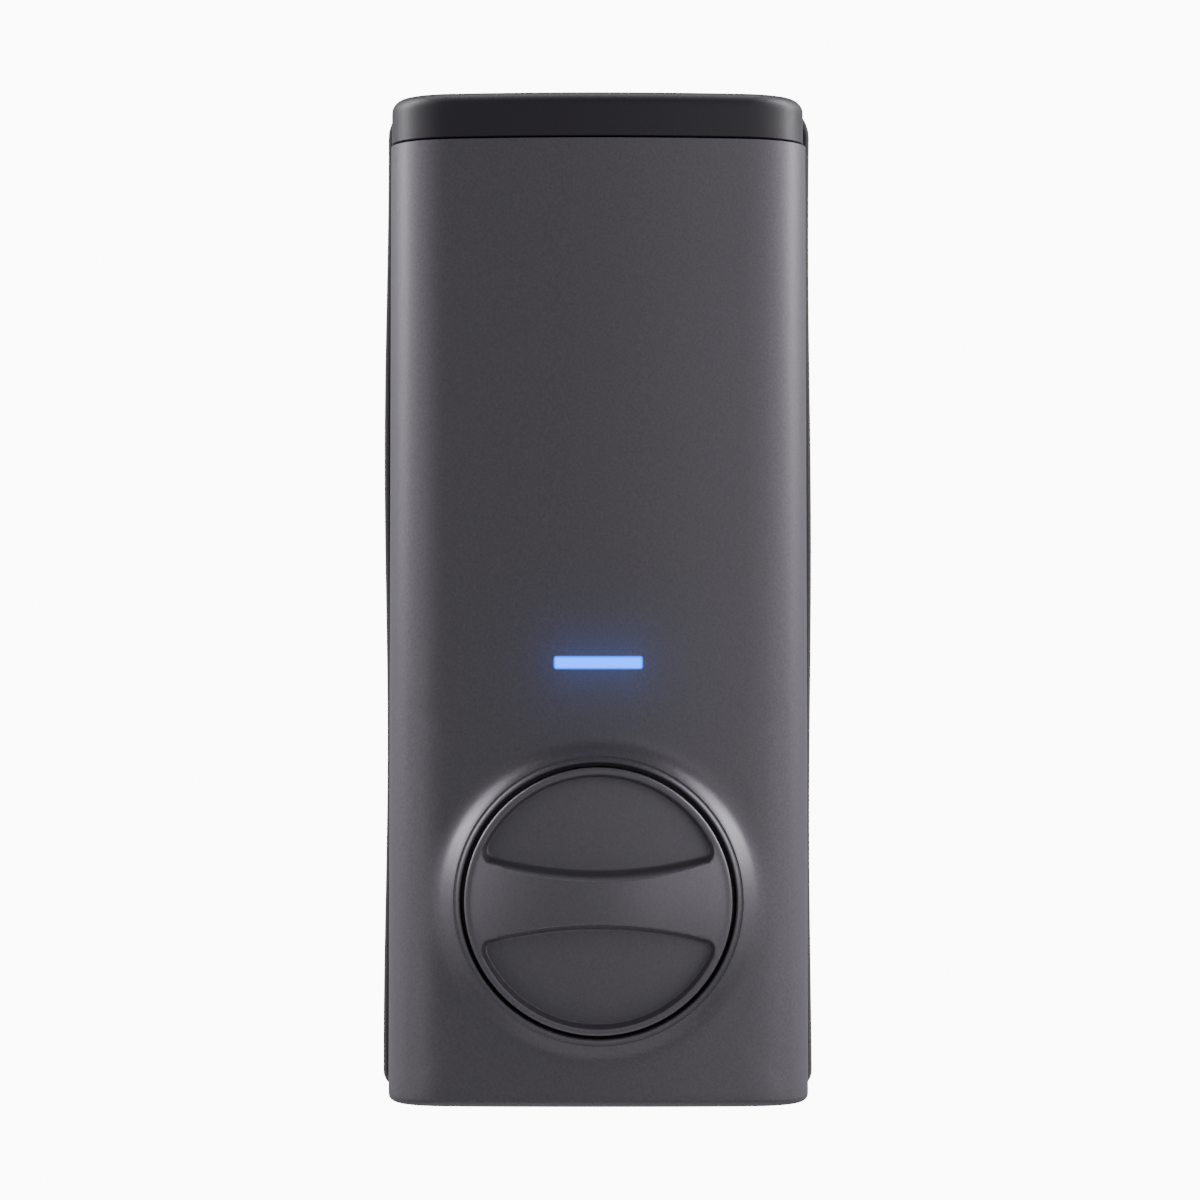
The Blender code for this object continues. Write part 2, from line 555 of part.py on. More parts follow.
# ---- gear train ----
def gear_train():
    """Two compound gears and the motor's pinion, with their teeth in mesh."""
    to_a, to_motor = bearing(GEAR_B, GEAR_A), bearing(GEAR_A, MOTOR)
    part("gear_b", prism(gear_outline(B_WHEEL_TEETH, B_MODULE, GEAR_B, to_a), *MIDDLE_LAYER), SINTERED,
         gear_b_axis, add=[prism(gear_outline(B_PINION_TEETH, OUTPUT_MODULE, GEAR_B,
                                              GEAR_B_ANGLE + pi + pi / B_PINION_TEETH),
                                 OUTPUT_LAYER[0], MIDDLE_LAYER[0] + 0.5)],
         cut=[rod(1.15, -18, -8, GEAR_B, 12)])
    part("gear_a", prism(gear_outline(A_WHEEL_TEETH, A_MODULE, GEAR_A, to_motor), *REAR_LAYER), SINTERED,
         gear_a_axis, add=[prism(gear_outline(A_PINION_TEETH, B_MODULE, GEAR_A,
                                              to_a + pi + pi / A_PINION_TEETH),
                                 MIDDLE_LAYER[0], REAR_LAYER[0] + 0.5)],
         cut=[rod(1.15, -14, -5, GEAR_A, 12)])
    part("motor_pinion", prism(gear_outline(MOTOR_TEETH, A_MODULE, MOTOR, to_motor + pi + pi / MOTOR_TEETH),
                               *REAR_LAYER, [circle(0.85, MOTOR, 12)]), BRASS, motor_axis)


# ---- battery drawer ----
TRAY_FLOOR = 16.0
TRAY_TOP = 75.2
LOW_CONTACT = (17.7, 18.0)
HIGH_CONTACT = (72.7, 73.0)
CELL_LENGTH = 49.3          # without the button
BUTTON = 1.2


def top_cap():
    """Hollow cap on the end of the drawer, following the cover's outline."""
    top, rounding = HALF_HEIGHT, 2.8
    above = [(top - rounding * (1 - sin(a)), rounding * (1 - cos(a))) for a in (0, pi / 8, pi / 4, 3 * pi / 8,
                                                                                 pi / 2)]
    shell = loft([body_level(SEAM_HIGH, 0.25, BACK_RIM)]
                 + [body_level(z, 0.25 + inset, BACK_RIM) for z, inset in above])
    hollow = loft([body_level(SEAM_HIGH - 2, 0.25 + WALL, BACK_RIM - WALL, SEAM_HIGH),
                   body_level(top - 3.4, 0.25 + WALL, BACK_RIM - WALL),
                   body_level(top - WALL, 3.6, BACK_RIM - WALL)])
    made = part("top_cap", shell, SATIN_BLACK, drawer_axis, cut=[hollow])
    combine(made, group([rod(2.6, SEAM_HIGH, top - 1.5, centre, 16, "Z") for centre in CAP_SCREWS]), "UNION")
    combine(made, group([rod(1.2, SEAM_HIGH - 2, 79.5, centre, 10, "Z") for centre in CAP_SCREWS]),
            "DIFFERENCE")


def battery_tray():
    """Open-fronted tray for four cells, with low ribs between them."""
    back = box((-31.25, 31.25), (-9.8, -8.6), (TRAY_FLOOR, TRAY_TOP))
    sides = group([box((left, right), (-20, -9.0), (TRAY_FLOOR, TRAY_TOP))
                   for left, right in ((-31.25, -30.05), (30.05, 31.25))])
    end_outline = [(-31, -9.0), (-31, -19), (-28, -22.5), (28, -22.5), (31, -19), (31, -9.0)]
    ends = group([prism(end_outline, low, high, holes, "Z") for low, high, holes in (
        (TRAY_FLOOR, TRAY_FLOOR + 1.4, [rectangle(x - 1, x + 1, TERMINAL_Y - 0.6, TERMINAL_Y + 0.6)
                                        for x in (-TERMINAL_X, TERMINAL_X)]),
        (73.3, TRAY_TOP, [circle(1.3, centre, 10) for centre in CAP_SCREWS]))])
    ribs = group([prism([(x - 1.6, -9.2), (x + 1.6, -9.2), (x + 0.3, -12.2), (x - 0.3, -12.2)], 24, 66,
                        axis="Z") for x in (-15, 0, 15)])
    part("battery_tray", back, NYLON, drawer_axis, add=[sides, ends, ribs])


def cells():
    """Four AA cells, button up in every second one, each pressed by a coil spring at its flat end."""
    for number, x in enumerate(CELL_X):
        button_up = number % 2 == 0
        flat = LOW_CONTACT[1] + 4.0 if button_up else HIGH_CONTACT[0] - 4.0
        way = 1 if button_up else -1
        profile = [(0, 0), (6.8, 0), (CELL_RADIUS, 0.3), (CELL_RADIUS, CELL_LENGTH - 0.3),
                   (6.8, CELL_LENGTH), (2.75, CELL_LENGTH), (2.75, CELL_LENGTH + BUTTON),
                   (0, CELL_LENGTH + BUTTON)]
        part(f"battery_{number + 1}", turned([(r, flat + way * along) for r, along in profile], (x, CELL_Y),
                                             20, "Z"), SLEEVE, drawer_axis)
        turns, height, wire_radius = 2.5, 3.0, 0.3
        steps = 25
        coil = [(x + (3.6 - 1.4 * k / steps) * cos(2 * pi * turns * k / steps),
                 CELL_Y + (3.6 - 1.4 * k / steps) * sin(2 * pi * turns * k / steps),
                 flat - way * (0.25 + wire_radius + height * (1 - k / steps))) for k in range(steps + 1)]
        wire(f"contact_spring_{number + 1}", coil, 2 * wire_radius, NICKEL, drawer_axis, 0)


def contacts():
    """Strips that join the cells, the drawer's two terminals and the sprung pads on the shelf."""
    low, high = CELL_Y - 3.0, CELL_Y + 3.0
    for name, left, right, level in (("upper_contact_left", -26, -4, HIGH_CONTACT),
                                     ("upper_contact_right", 4, 26, HIGH_CONTACT),
                                     ("lower_contact", -11, 11, LOW_CONTACT)):
        part(name, box((left, right), (low, high), level), NICKEL, drawer_axis)
    for side, x in (("left", -TERMINAL_X), ("right", TERMINAL_X)):
        leg_y = (TERMINAL_Y - 0.2, TERMINAL_Y + 0.2)
        part(f"tray_terminal_{side}", box((x - 3.5, x + 3.5), (low, high), LOW_CONTACT), NICKEL, drawer_axis,
             add=[box((x - 0.7, x + 0.7), leg_y, (TRAY_FLOOR - 0.3, LOW_CONTACT[0] + 0.1)),
                  box((x - 2.5, x + 2.5), (TERMINAL_Y - 2, TERMINAL_Y + 2),
                      (TRAY_FLOOR - 0.45, TRAY_FLOOR - 0.2))])
        part(f"bay_terminal_{side}",
             box((x - 2.2, x + 2.2), (TERMINAL_Y - 1.5, TERMINAL_Y + 1.5), (15.1, 15.3)),
             NICKEL, add=[box((x - 0.8, x + 0.8), leg_y, (11.2, 15.2))])
    for number, centre in enumerate(CAP_SCREWS, 1):
        part(f"cap_screw_{number}", screw(1.9, 1.05, 79, 73.0, 71.3, centre, "Z"), ZINC, drawer_axis)


def leads():
    """Battery leads from the shelf to the back of the board, and motor leads to its front."""
    wire("battery_lead_red", smooth_route([
        (TERMINAL_X, TERMINAL_Y, 10.8), (TERMINAL_X, TERMINAL_Y, 7.5), (19, -15.5, 4.5), (13, -16, 3.0),
        (8.6, -16.8, 2.5), (8, -18.9, 2.5)]), 1.2, RED_LEAD)
    wire("battery_lead_black", smooth_route([
        (-TERMINAL_X, TERMINAL_Y, 10.8), (-TERMINAL_X, TERMINAL_Y, 7.5), (-20.5, -15.6, 4.0),
        (-17.2, -16.6, 3.0), (-16.5, -18.9, 3.0)]), 1.2, BLACK_LEAD)
    for shade, material, side in (("red", RED_LEAD, 1), ("black", BLACK_LEAD, -1)):
        wire(f"motor_lead_{shade}", smooth_route([
            (19 + side * 2.5, -22, -9.4), (18.6 + side * 1.6, -22.4, -7), (14 + side, -23.4, -3.5 + side),
            (9.5, -23.2, -3.5 + side * 1.5), (8.6, -21.6, -3.5 + side * 1.5)]), 1.1, material)


for make in (front_cover, chassis, mounting_plate, door_gasket, light_guide, electronics, sensors, drive,
             fixings, knob, spindle_group, gear_train, top_cap, battery_tray, cells, contacts, leads):
    make()
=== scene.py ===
# %% [markdown]
# # The inside unit of a motorised deadbolt
# This is the box that sits on the room side of a front door. A tall cover with a softly crowned face hides
# four batteries, a small motor and a train of gears, and a round thumbturn lets a hand do what the motor
# does. The mechanical model is loaded first and never moved. Each lesson below then makes one visible piece
# or one finish around it, from the outside in.

# %% Load the mechanical model
import json
import math

import bmesh
import bpy
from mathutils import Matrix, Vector


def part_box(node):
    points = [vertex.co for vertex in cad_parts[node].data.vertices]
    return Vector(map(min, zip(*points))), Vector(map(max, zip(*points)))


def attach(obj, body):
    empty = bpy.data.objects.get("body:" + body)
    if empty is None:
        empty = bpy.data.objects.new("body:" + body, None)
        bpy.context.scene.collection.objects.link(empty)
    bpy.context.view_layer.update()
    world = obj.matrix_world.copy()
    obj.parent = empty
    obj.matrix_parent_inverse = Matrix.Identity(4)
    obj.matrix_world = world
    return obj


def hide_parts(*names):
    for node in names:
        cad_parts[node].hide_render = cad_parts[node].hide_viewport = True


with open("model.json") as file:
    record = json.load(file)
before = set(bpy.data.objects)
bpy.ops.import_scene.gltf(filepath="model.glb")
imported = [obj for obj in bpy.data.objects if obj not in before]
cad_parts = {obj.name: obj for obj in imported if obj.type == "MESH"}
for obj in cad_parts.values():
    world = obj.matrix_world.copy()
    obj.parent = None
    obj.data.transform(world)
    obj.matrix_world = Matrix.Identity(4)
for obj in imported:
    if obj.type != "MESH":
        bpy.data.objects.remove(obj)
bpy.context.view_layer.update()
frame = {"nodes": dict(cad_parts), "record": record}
nodes = frame["nodes"]
MM = 0.001

# %% [markdown]
# ## The camera
# A product shot of a flat-fronted box wants a long lens from far away, so that the sides stay nearly
# parallel. The lens is level with the middle of the unit and looks along +Y, straight at the door.

# %% Camera
LENS = 108.0
camera_data = bpy.data.cameras.new("camera")
camera_data.lens = LENS
camera_data.sensor_width = 36.0
camera = bpy.data.objects.new("camera", camera_data)
camera.location = (0.28 * MM, -621 * MM, -0.7 * MM)
camera.rotation_euler = (math.pi / 2, 0, 0)
bpy.context.scene.collection.objects.link(camera)
bpy.context.scene.camera = camera
print("camera is", round(-camera.location.y, 3), "m from the door")

# %% [markdown]
# ## Studio light
# Dark metallic paint has little colour of its own. What the eye reads is what the surface mirrors: two tall
# softboxes, high on either side and behind the face, draw the bright lines down the rounded edges, and the
# dim room in front of the unit keeps the face dark. Weaker lights fill in the front, the two sides and the
# top.

# %% Lights
def softbox(name, place, size, power):
    """A rectangular area light at a place, aimed at the middle of the unit."""
    light = bpy.data.lights.new(name, "AREA")
    light.shape = "RECTANGLE"
    light.size, light.size_y = size
    light.energy = power
    lamp = bpy.data.objects.new(name, light)
    lamp.location = place
    lamp.rotation_euler = (-Vector(place)).to_track_quat("-Z", "Y").to_euler()
    bpy.context.scene.collection.objects.link(lamp)


SOFTBOX_SIZE = (0.36, 0.95)
SIDE_FILL_SIZE = (0.6, 1.0)
softbox("left_softbox", (-0.95, 0.26, 0.59), SOFTBOX_SIZE, 15)
softbox("right_softbox", (0.95, 0.24, 0.59), SOFTBOX_SIZE, 16.5)
softbox("right_fill", (0.52, -0.98, 0.1), (0.5, 0.9), 1.4)
softbox("left_side_fill", (-1.0, -0.55, 0.1), SIDE_FILL_SIZE, 1.2)
softbox("right_side_fill", (1.0, -0.55, 0.1), SIDE_FILL_SIZE, 1.6)
softbox("top_light", (0, 0.25, 1.0), (0.9, 0.4), 3.5)
print("lights:", len(bpy.data.lights))

# %% [markdown]
# ## The world
# The world is white to the camera, and much dimmer as a source of light. It is brightest behind the unit and
# fades towards the camera's side, towards the ground and overhead. Two small helpers build its nodes, and
# most of the shaders and trees further down.

# %% World
def math_node(tree, operation, first, second=0.0):
    """A Math node whose inputs are sockets or numbers."""
    node = tree.nodes.new("ShaderNodeMath")
    node.operation = operation
    for slot, value in zip(node.inputs, (first, second)):
        if isinstance(value, (int, float)):
            slot.default_value = value
        else:
            tree.links.new(value, slot)
    return node.outputs[0]


def map_range(tree, value, span_in, span_out, interpolation="LINEAR"):
    """A Map Range node fed by a socket."""
    node = tree.nodes.new("ShaderNodeMapRange")
    node.interpolation_type = interpolation
    for key, number in zip(("From Min", "From Max", "To Min", "To Max"), (*span_in, *span_out)):
        node.inputs[key].default_value = number
    tree.links.new(value, node.inputs["Value"])
    return node.outputs["Result"]


SEEN_STRENGTH = 11.0
world = bpy.data.worlds.new("studio")
bpy.context.scene.world = world
world.use_nodes = True
sky = world.node_tree
background = sky.nodes["Background"]
background.inputs["Color"].default_value = (1, 1, 1, 1)
direction = sky.nodes.new("ShaderNodeTexCoord")
axes = sky.nodes.new("ShaderNodeSeparateXYZ")
sky.links.new(direction.outputs["Generated"], axes.inputs["Vector"])
towards_door = map_range(sky, axes.outputs["Y"], (-0.65, 0.7), (0.36, 0.54), "SMOOTHSTEP")
upwards = map_range(sky, axes.outputs["Z"], (-0.75, 0.2), (0.4, 1.0))
overhead = map_range(sky, axes.outputs["Z"], (0.25, 0.75), (1.0, 0.42))
dimmed = math_node(sky, "MULTIPLY", towards_door, math_node(sky, "MULTIPLY", upwards, overhead))
seen = sky.nodes.new("ShaderNodeLightPath")
strength = sky.nodes.new("ShaderNodeMix")
strength.data_type = "FLOAT"
strength.inputs["B"].default_value = SEEN_STRENGTH
sky.links.new(dimmed, strength.inputs["A"])
sky.links.new(seen.outputs["Is Camera Ray"], strength.inputs["Factor"])
sky.links.new(strength.outputs["Result"], background.inputs["Strength"])
print("world:", len(sky.nodes), "nodes")

# %% [markdown]
# ## The floor
# A pale floor far below the unit sends a little light up under it. It is part of the stage, not of the unit.

# %% Floor
FLOOR_DROP, FLOOR_RADIUS, FLOOR_SIDES = 0.9, 0.8, 64
floor_turns = [2 * math.pi * k / FLOOR_SIDES for k in range(FLOOR_SIDES)]
floor_mesh = bpy.data.meshes.new("floor")
floor_mesh.from_pydata([(FLOOR_RADIUS * math.cos(a), FLOOR_RADIUS * math.sin(a), -FLOOR_DROP)
                        for a in floor_turns], [], [tuple(range(FLOOR_SIDES))])
floor = bpy.data.objects.new("floor", floor_mesh)
bpy.context.scene.collection.objects.link(floor)
pale = bpy.data.materials.new("pale_floor")
pale.use_nodes = True
pale_shader = pale.node_tree.nodes["Principled BSDF"]
pale_shader.inputs["Base Color"].default_value = (0.65, 0.65, 0.65, 1)
pale_shader.inputs["Roughness"].default_value = 0.9
floor_mesh.materials.append(pale)
print("floor is", FLOOR_DROP, "m below the middle of the unit")

# %% [markdown]
# ## One grain for many finishes
# Powder coat, moulded plastic, rubber and zinc all break up the light a little, each at its own scale. A
# shader node group makes that grain once: two noises, a fine one for the grain and a slow one for handling
# marks, tint the colour, shift the roughness and tilt the normal. Each material places the group with its
# own values.

# %% Shader group: grain
def new_group(name, kind, inputs, outputs):
    """A node group with named sockets: the tree, and the sockets of its two end nodes."""
    tree = bpy.data.node_groups.new(name, kind)
    for way, rows in (("INPUT", inputs), ("OUTPUT", outputs)):
        for key, socket_kind, *value in rows:
            made = tree.interface.new_socket(name=key, in_out=way, socket_type="NodeSocket" + socket_kind)
            if value:
                made.default_value = value[0]
    return tree, tree.nodes.new("NodeGroupInput").outputs, tree.nodes.new("NodeGroupOutput").inputs


def noise_node(tree, vector, scale, detail):
    """A noise centred on zero."""
    node = tree.nodes.new("ShaderNodeTexNoise")
    node.inputs["Detail"].default_value = detail
    tree.links.new(vector, node.inputs["Vector"])
    if isinstance(scale, (int, float)):
        node.inputs["Scale"].default_value = scale
    else:
        tree.links.new(scale, node.inputs["Scale"])
    return math_node(tree, "SUBTRACT", node.outputs["Fac"], 0.5)


MARK_SCALE = 38.0
grain, entry, leave = new_group(
    "grain", "ShaderNodeTree",
    [("Vector", "Vector"), ("Colour", "Color"), ("Roughness", "Float", 0.4), ("Grain scale", "Float", 3000.0),
     ("Colour change", "Float", 0.3), ("Roughness change", "Float", 0.1), ("Marks", "Float", 0.05),
     ("Depth", "Float", 0.00002)],
    [("Colour", "Color"), ("Roughness", "Float"), ("Normal", "Vector")])
fine = noise_node(grain, entry["Vector"], entry["Grain scale"], 2.0)
slow = noise_node(grain, entry["Vector"], MARK_SCALE, 4.0)
tint = math_node(grain, "ADD", math_node(grain, "MULTIPLY", fine, entry["Colour change"]), 1.0)
tinted = grain.nodes.new("ShaderNodeVectorMath")
tinted.operation = "SCALE"
grain.links.new(entry["Colour"], tinted.inputs[0])
grain.links.new(tint, tinted.inputs["Scale"])
grain.links.new(tinted.outputs["Vector"], leave["Colour"])
fine_change = math_node(grain, "MULTIPLY", fine, entry["Roughness change"])
rough = math_node(grain, "ADD", entry["Roughness"], fine_change)
rough = math_node(grain, "ADD", rough, math_node(grain, "MULTIPLY", slow, entry["Marks"]))
grain.links.new(rough, leave["Roughness"])
bump = grain.nodes.new("ShaderNodeBump")
bump.inputs["Strength"].default_value = 1.0
grain.links.new(entry["Depth"], bump.inputs["Distance"])
grain.links.new(fine, bump.inputs["Height"])
grain.links.new(bump.outputs["Normal"], leave["Normal"])
print("grain group:", len(grain.nodes), "nodes")


# %% [markdown]
# ## The finishes
# A finish here is a Principled shader fed by the grain group. The constants that don't change over the
# surface, such as metallic, coat and specular, are set on the shader itself.

# %% Finishes
def finish(name, colour, roughness, metallic=0.0, scale=3000.0, colour_change=0.3, roughness_change=0.1,
           marks=0.05, depth=0.00002, coat=0.0, coat_roughness=0.1, specular=0.5):
    """A material whose colour, roughness and normal come through the grain group."""
    material = bpy.data.materials.new(name)
    material.use_nodes = True
    tree = material.node_tree
    shader = tree.nodes["Principled BSDF"]
    shader.inputs["Metallic"].default_value = metallic
    shader.inputs["Specular IOR Level"].default_value = specular
    shader.inputs["Coat Weight"].default_value = coat
    shader.inputs["Coat Roughness"].default_value = coat_roughness
    place = tree.nodes.new("ShaderNodeTexCoord")
    group = tree.nodes.new("ShaderNodeGroup")
    group.node_tree = grain
    for key, value in (("Colour", (*colour, 1)), ("Roughness", roughness), ("Grain scale", scale),
                       ("Colour change", colour_change), ("Roughness change", roughness_change),
                       ("Marks", marks), ("Depth", depth)):
        group.inputs[key].default_value = value
    tree.links.new(place.outputs["Object"], group.inputs["Vector"])
    tree.links.new(group.outputs["Colour"], shader.inputs["Base Color"])
    tree.links.new(group.outputs["Roughness"], shader.inputs["Roughness"])
    tree.links.new(group.outputs["Normal"], shader.inputs["Normal"])
    return material


graphite = finish("graphite_paint", (0.145, 0.136, 0.158), 0.46, metallic=0.55, scale=2600, colour_change=0.5,
                  roughness_change=0.12, marks=0.03, depth=0.000012)
# The thumbturn's paint is a lighter copy of the cover's paint: painted light standing in for the light its
# bar and pockets catch.
graphite_knob = finish("graphite_knob", (0.169, 0.159, 0.185), 0.45, metallic=0.55, scale=2600,
                       colour_change=0.4, roughness_change=0.1, marks=0.03, depth=0.00001)
cap_black = finish("cap_black", (0.024, 0.0195, 0.029), 0.47, metallic=0.0, scale=1800, colour_change=0.2,
                   marks=0.04, depth=0.000006)
rubber = finish("gasket_rubber", (0.19, 0.185, 0.185), 0.7, scale=1500, colour_change=0.3, depth=0.00004)
nylon = finish("dark_nylon", (0.022, 0.022, 0.024), 0.55, scale=900, depth=0.00003)
zinc = finish("zinc_plate", (0.56, 0.57, 0.6), 0.34, metallic=1.0, scale=500, colour_change=0.25,
              roughness_change=0.25, marks=0.2, depth=0.000015)
steel = finish("bright_steel", (0.62, 0.62, 0.63), 0.24, metallic=1.0, scale=1200)
sintered = finish("sintered_steel", (0.22, 0.22, 0.23), 0.48, metallic=1.0, scale=2500, depth=0.00004)
brass = finish("brass", (0.72, 0.52, 0.22), 0.28, metallic=1.0, scale=1500)
bronze = finish("oiled_bronze", (0.4, 0.24, 0.1), 0.38, metallic=1.0, scale=2000)
nickel = finish("nickel_plate", (0.68, 0.65, 0.6), 0.2, metallic=1.0, scale=1200)
board_green = finish("circuit_board", (0.012, 0.10, 0.045), 0.38, scale=600, coat=0.3)
epoxy = finish("black_epoxy", (0.012, 0.012, 0.013), 0.5, scale=3000)
shield = finish("tinned_shield", (0.6, 0.6, 0.58), 0.32, metallic=1.0, scale=800)
cream = finish("cream_socket", (0.66, 0.61, 0.48), 0.5, scale=1500)
lamp_body = finish("lamp_body", (0.78, 0.76, 0.6), 0.4, scale=1500)
sleeve = finish("cell_sleeve", (0.02, 0.021, 0.024), 0.32, scale=900, coat=0.4)
guide_light = finish("guide_light", (0.01, 0.05, 0.2), 0.35, scale=700, depth=0.000004)
red_wire = finish("red_lead", (0.45, 0.015, 0.012), 0.42, scale=2000)
black_wire = finish("black_lead", (0.012, 0.012, 0.012), 0.42, scale=2000)
print("finishes:", len(bpy.data.materials))

# %% [markdown]
# ## The status light and its glow
# The light guide is a clear bar that shines from within: sky blue over nearly all of it, and a deep blue in a
# thin line at its edges, where less light escapes. The paint round it carries painted light: a faint blue
# emission stands in for the bar's light falling on the cover. Both come from one group that measures how far
# a point is from the middle line of the bar. One input squares the ends of that distance, and another sets
# how suddenly the light falls.

# %% Shader group: distance from the bar
BAR_HALF_LENGTH = 7.3 * MM
BAR_Z = -11.0 * MM
EXP_OF_MINUS_ONE = 0.3679
bar_glow, entry, leave = new_group(
    "bar_glow", "ShaderNodeTree",
    [("Vector", "Vector"), ("Half length", "Float", BAR_HALF_LENGTH), ("Reach", "Float", 0.003),
     ("Squareness", "Float", 2.0), ("Suddenness", "Float", 1.0), ("Near", "Color"), ("Far", "Color")],
    [("Colour", "Color")])
apart = bar_glow.nodes.new("ShaderNodeSeparateXYZ")
bar_glow.links.new(entry["Vector"], apart.inputs["Vector"])


def on_bar(operation, first, second=0.0):
    """A Math node in the glow group."""
    return math_node(bar_glow, operation, first, second)


past_end = on_bar("SUBTRACT", on_bar("ABSOLUTE", apart.outputs["X"]), entry["Half length"])
past_end = on_bar("DIVIDE", on_bar("MAXIMUM", past_end, 0.0), entry["Reach"])
above = on_bar("DIVIDE", on_bar("ABSOLUTE", on_bar("SUBTRACT", apart.outputs["Z"], BAR_Z)), entry["Reach"])
away = on_bar("ADD", on_bar("POWER", past_end, entry["Squareness"]),
              on_bar("POWER", above, entry["Squareness"]))
away = on_bar("POWER", away, on_bar("DIVIDE", entry["Suddenness"], entry["Squareness"]))
fade = on_bar("POWER", EXP_OF_MINUS_ONE, away)


def mix_colour(tree, factor, first, second):
    """A colour Mix node between two sockets or plain colours. Its sockets are told apart by identifier."""
    node = tree.nodes.new("ShaderNodeMix")
    node.data_type = "RGBA"
    slots = {slot.identifier: slot for slot in node.inputs}
    for key, value in (("Factor_Float", factor), ("A_Color", first), ("B_Color", second)):
        if isinstance(value, tuple):
            slots[key].default_value = (*value, 1)
        else:
            tree.links.new(value, slots[key])
    return next(slot for slot in node.outputs if slot.identifier == "Result_Color")


bar_glow.links.new(mix_colour(bar_glow, fade, entry["Far"], entry["Near"]), leave["Colour"])


def glow(material, half_length, reach, squareness, suddenness, near, far, strength):
    """Let a material shine by its distance from the middle line of the light bar."""
    tree = material.node_tree
    shader = tree.nodes["Principled BSDF"]
    place = next(node for node in tree.nodes if node.type == "TEX_COORD")
    group = tree.nodes.new("ShaderNodeGroup")
    group.node_tree = bar_glow
    for key, value in (("Half length", half_length), ("Reach", reach), ("Squareness", squareness),
                       ("Suddenness", suddenness), ("Near", (*near, 1)), ("Far", (*far, 1))):
        group.inputs[key].default_value = value
    tree.links.new(place.outputs["Object"], group.inputs["Vector"])
    tree.links.new(group.outputs["Colour"], shader.inputs["Emission Color"])
    shader.inputs["Emission Strength"].default_value = strength


glow(guide_light, 6.25 * MM, 0.97 * MM, 8, 7, (0.0, 0.14, 1.0), (0.0, 0.02, 0.13), 5.0)
# Painted light: a faint blue emission on the cover's paint stands in for the bar's light falling round the
# slot.
glow(graphite, 4.0 * MM, 3.6 * MM, 2, 1, (0.01, 0.16, 1.0), (0, 0, 0), 0.15)
print("glow group:", len(bar_glow.nodes), "nodes")

# %% [markdown]
# ## Tools for making pieces
# Every piece below is made in millimetres and kept at the origin, with its place in its mesh. A few short
# helpers turn lists of points into a smooth mesh, stitch rings of points together, spin a profile into a
# turned solid, and cut one solid with another.

# %% Mesh helpers
def mesh_piece(name, points, faces, material=None, sharp=32.0):
    """A smooth mesh object at the origin, from points in millimetres, with its sharper edges kept sharp."""
    mesh = bpy.data.meshes.new(name)
    mesh.from_pydata([(x * MM, y * MM, z * MM) for x, y, z in points], [], faces)
    solid = bmesh.new()
    solid.from_mesh(mesh)
    bmesh.ops.remove_doubles(solid, verts=solid.verts, dist=1e-7)
    bmesh.ops.recalc_face_normals(solid, faces=solid.faces)
    solid.to_mesh(mesh)
    solid.free()
    piece = bpy.data.objects.new(name, mesh)
    bpy.context.scene.collection.objects.link(piece)
    if material:
        mesh.materials.append(material)
    smooth(mesh, sharp)
    return piece


def smooth(mesh, sharp=32.0):
    """Smooth shading with the edges sharper than an angle kept crisp."""
    mesh.polygons.foreach_set("use_smooth", [True] * len(mesh.polygons))
    mesh.set_sharp_from_angle(angle=math.radians(sharp))
    mesh.update()


def stitch(rings, closed=True):
    """Quads between rings of points: the points in one list, and the faces."""
    points = [point for ring in rings for point in ring]
    count = len(rings[0])
    span = count if closed else count - 1
    faces = []
    for start in range(0, count * (len(rings) - 1), count):
        for j in range(span):
            after = (j + 1) % count
            faces.append((start + j, start + after, start + count + after, start + count + j))
    return points, faces


def tube(name, rings, material=None):
    """A solid from rings of points, with one face over its first ring and one over its last."""
    points, faces = stitch(rings)
    count = len(rings[0])
    faces += [tuple(range(count)), tuple(range(len(points) - count, len(points)))]
    return mesh_piece(name, points, faces, material)


def prism(name, outline, back, front, material=None):
    """An outline of (x, z) points pulled along Y."""
    return tube(name, [[(x, y, z) for x, z in outline] for y in (back, front)], material)


def turned(name, profile, centre, segments=64, material=None, axis="Y"):
    """A profile of (radius, station) points, spun about an axis through a centre."""
    rings = []
    for radius, station in profile:
        ring = []
        for k in range(segments):
            turn = 2 * math.pi * k / segments
            u, v = centre[0] + radius * math.cos(turn), centre[1] + radius * math.sin(turn)
            ring.append((u, station, v) if axis == "Y" else (u, v, station))
        rings.append(ring)
    return tube(name, rings, material)


def rounded(x0, x1, z0, z1, radius, steps=6):
    """A rectangle with rounded corners."""
    corners = ((x1 - radius, z1 - radius, 0), (x0 + radius, z1 - radius, 90), (x0 + radius, z0 + radius, 180),
               (x1 - radius, z0 + radius, 270))
    return [(x + radius * math.cos(math.radians(start + 90 * k / steps)),
             z + radius * math.sin(math.radians(start + 90 * k / steps)))
            for x, z, start in corners for k in range(steps + 1)]


def apply_modifier(piece, modifier):
    """Replace a piece's mesh with what its modifier makes of it."""
    evaluated = piece.evaluated_get(bpy.context.evaluated_depsgraph_get())
    mesh = bpy.data.meshes.new_from_object(evaluated)
    piece.modifiers.remove(modifier)
    mesh.name = piece.name
    piece.data = mesh
    smooth(mesh)


def cut(piece, tool):
    """Take one solid out of another, and leave a plain mesh."""
    modifier = piece.modifiers.new("cut", "BOOLEAN")
    modifier.solver = "EXACT"
    modifier.operation = "DIFFERENCE"
    modifier.object = tool
    apply_modifier(piece, modifier)
    bpy.data.objects.remove(tool, do_unlink=True)


def faces_of(piece):
    """The number of triangles a piece will have."""
    return sum(len(face.vertices) - 2 for face in piece.data.polygons)


# %% [markdown]
# ## The body's section
# Seen from above, the front is one long shallow arc that rolls into the sides through a 12 mm corner. That
# outline narrows half a millimetre on each side from the bottom to the top. Writing it down as a function
# lets the cover, the cap and the surfaces round the thumbturn all follow the same skin.

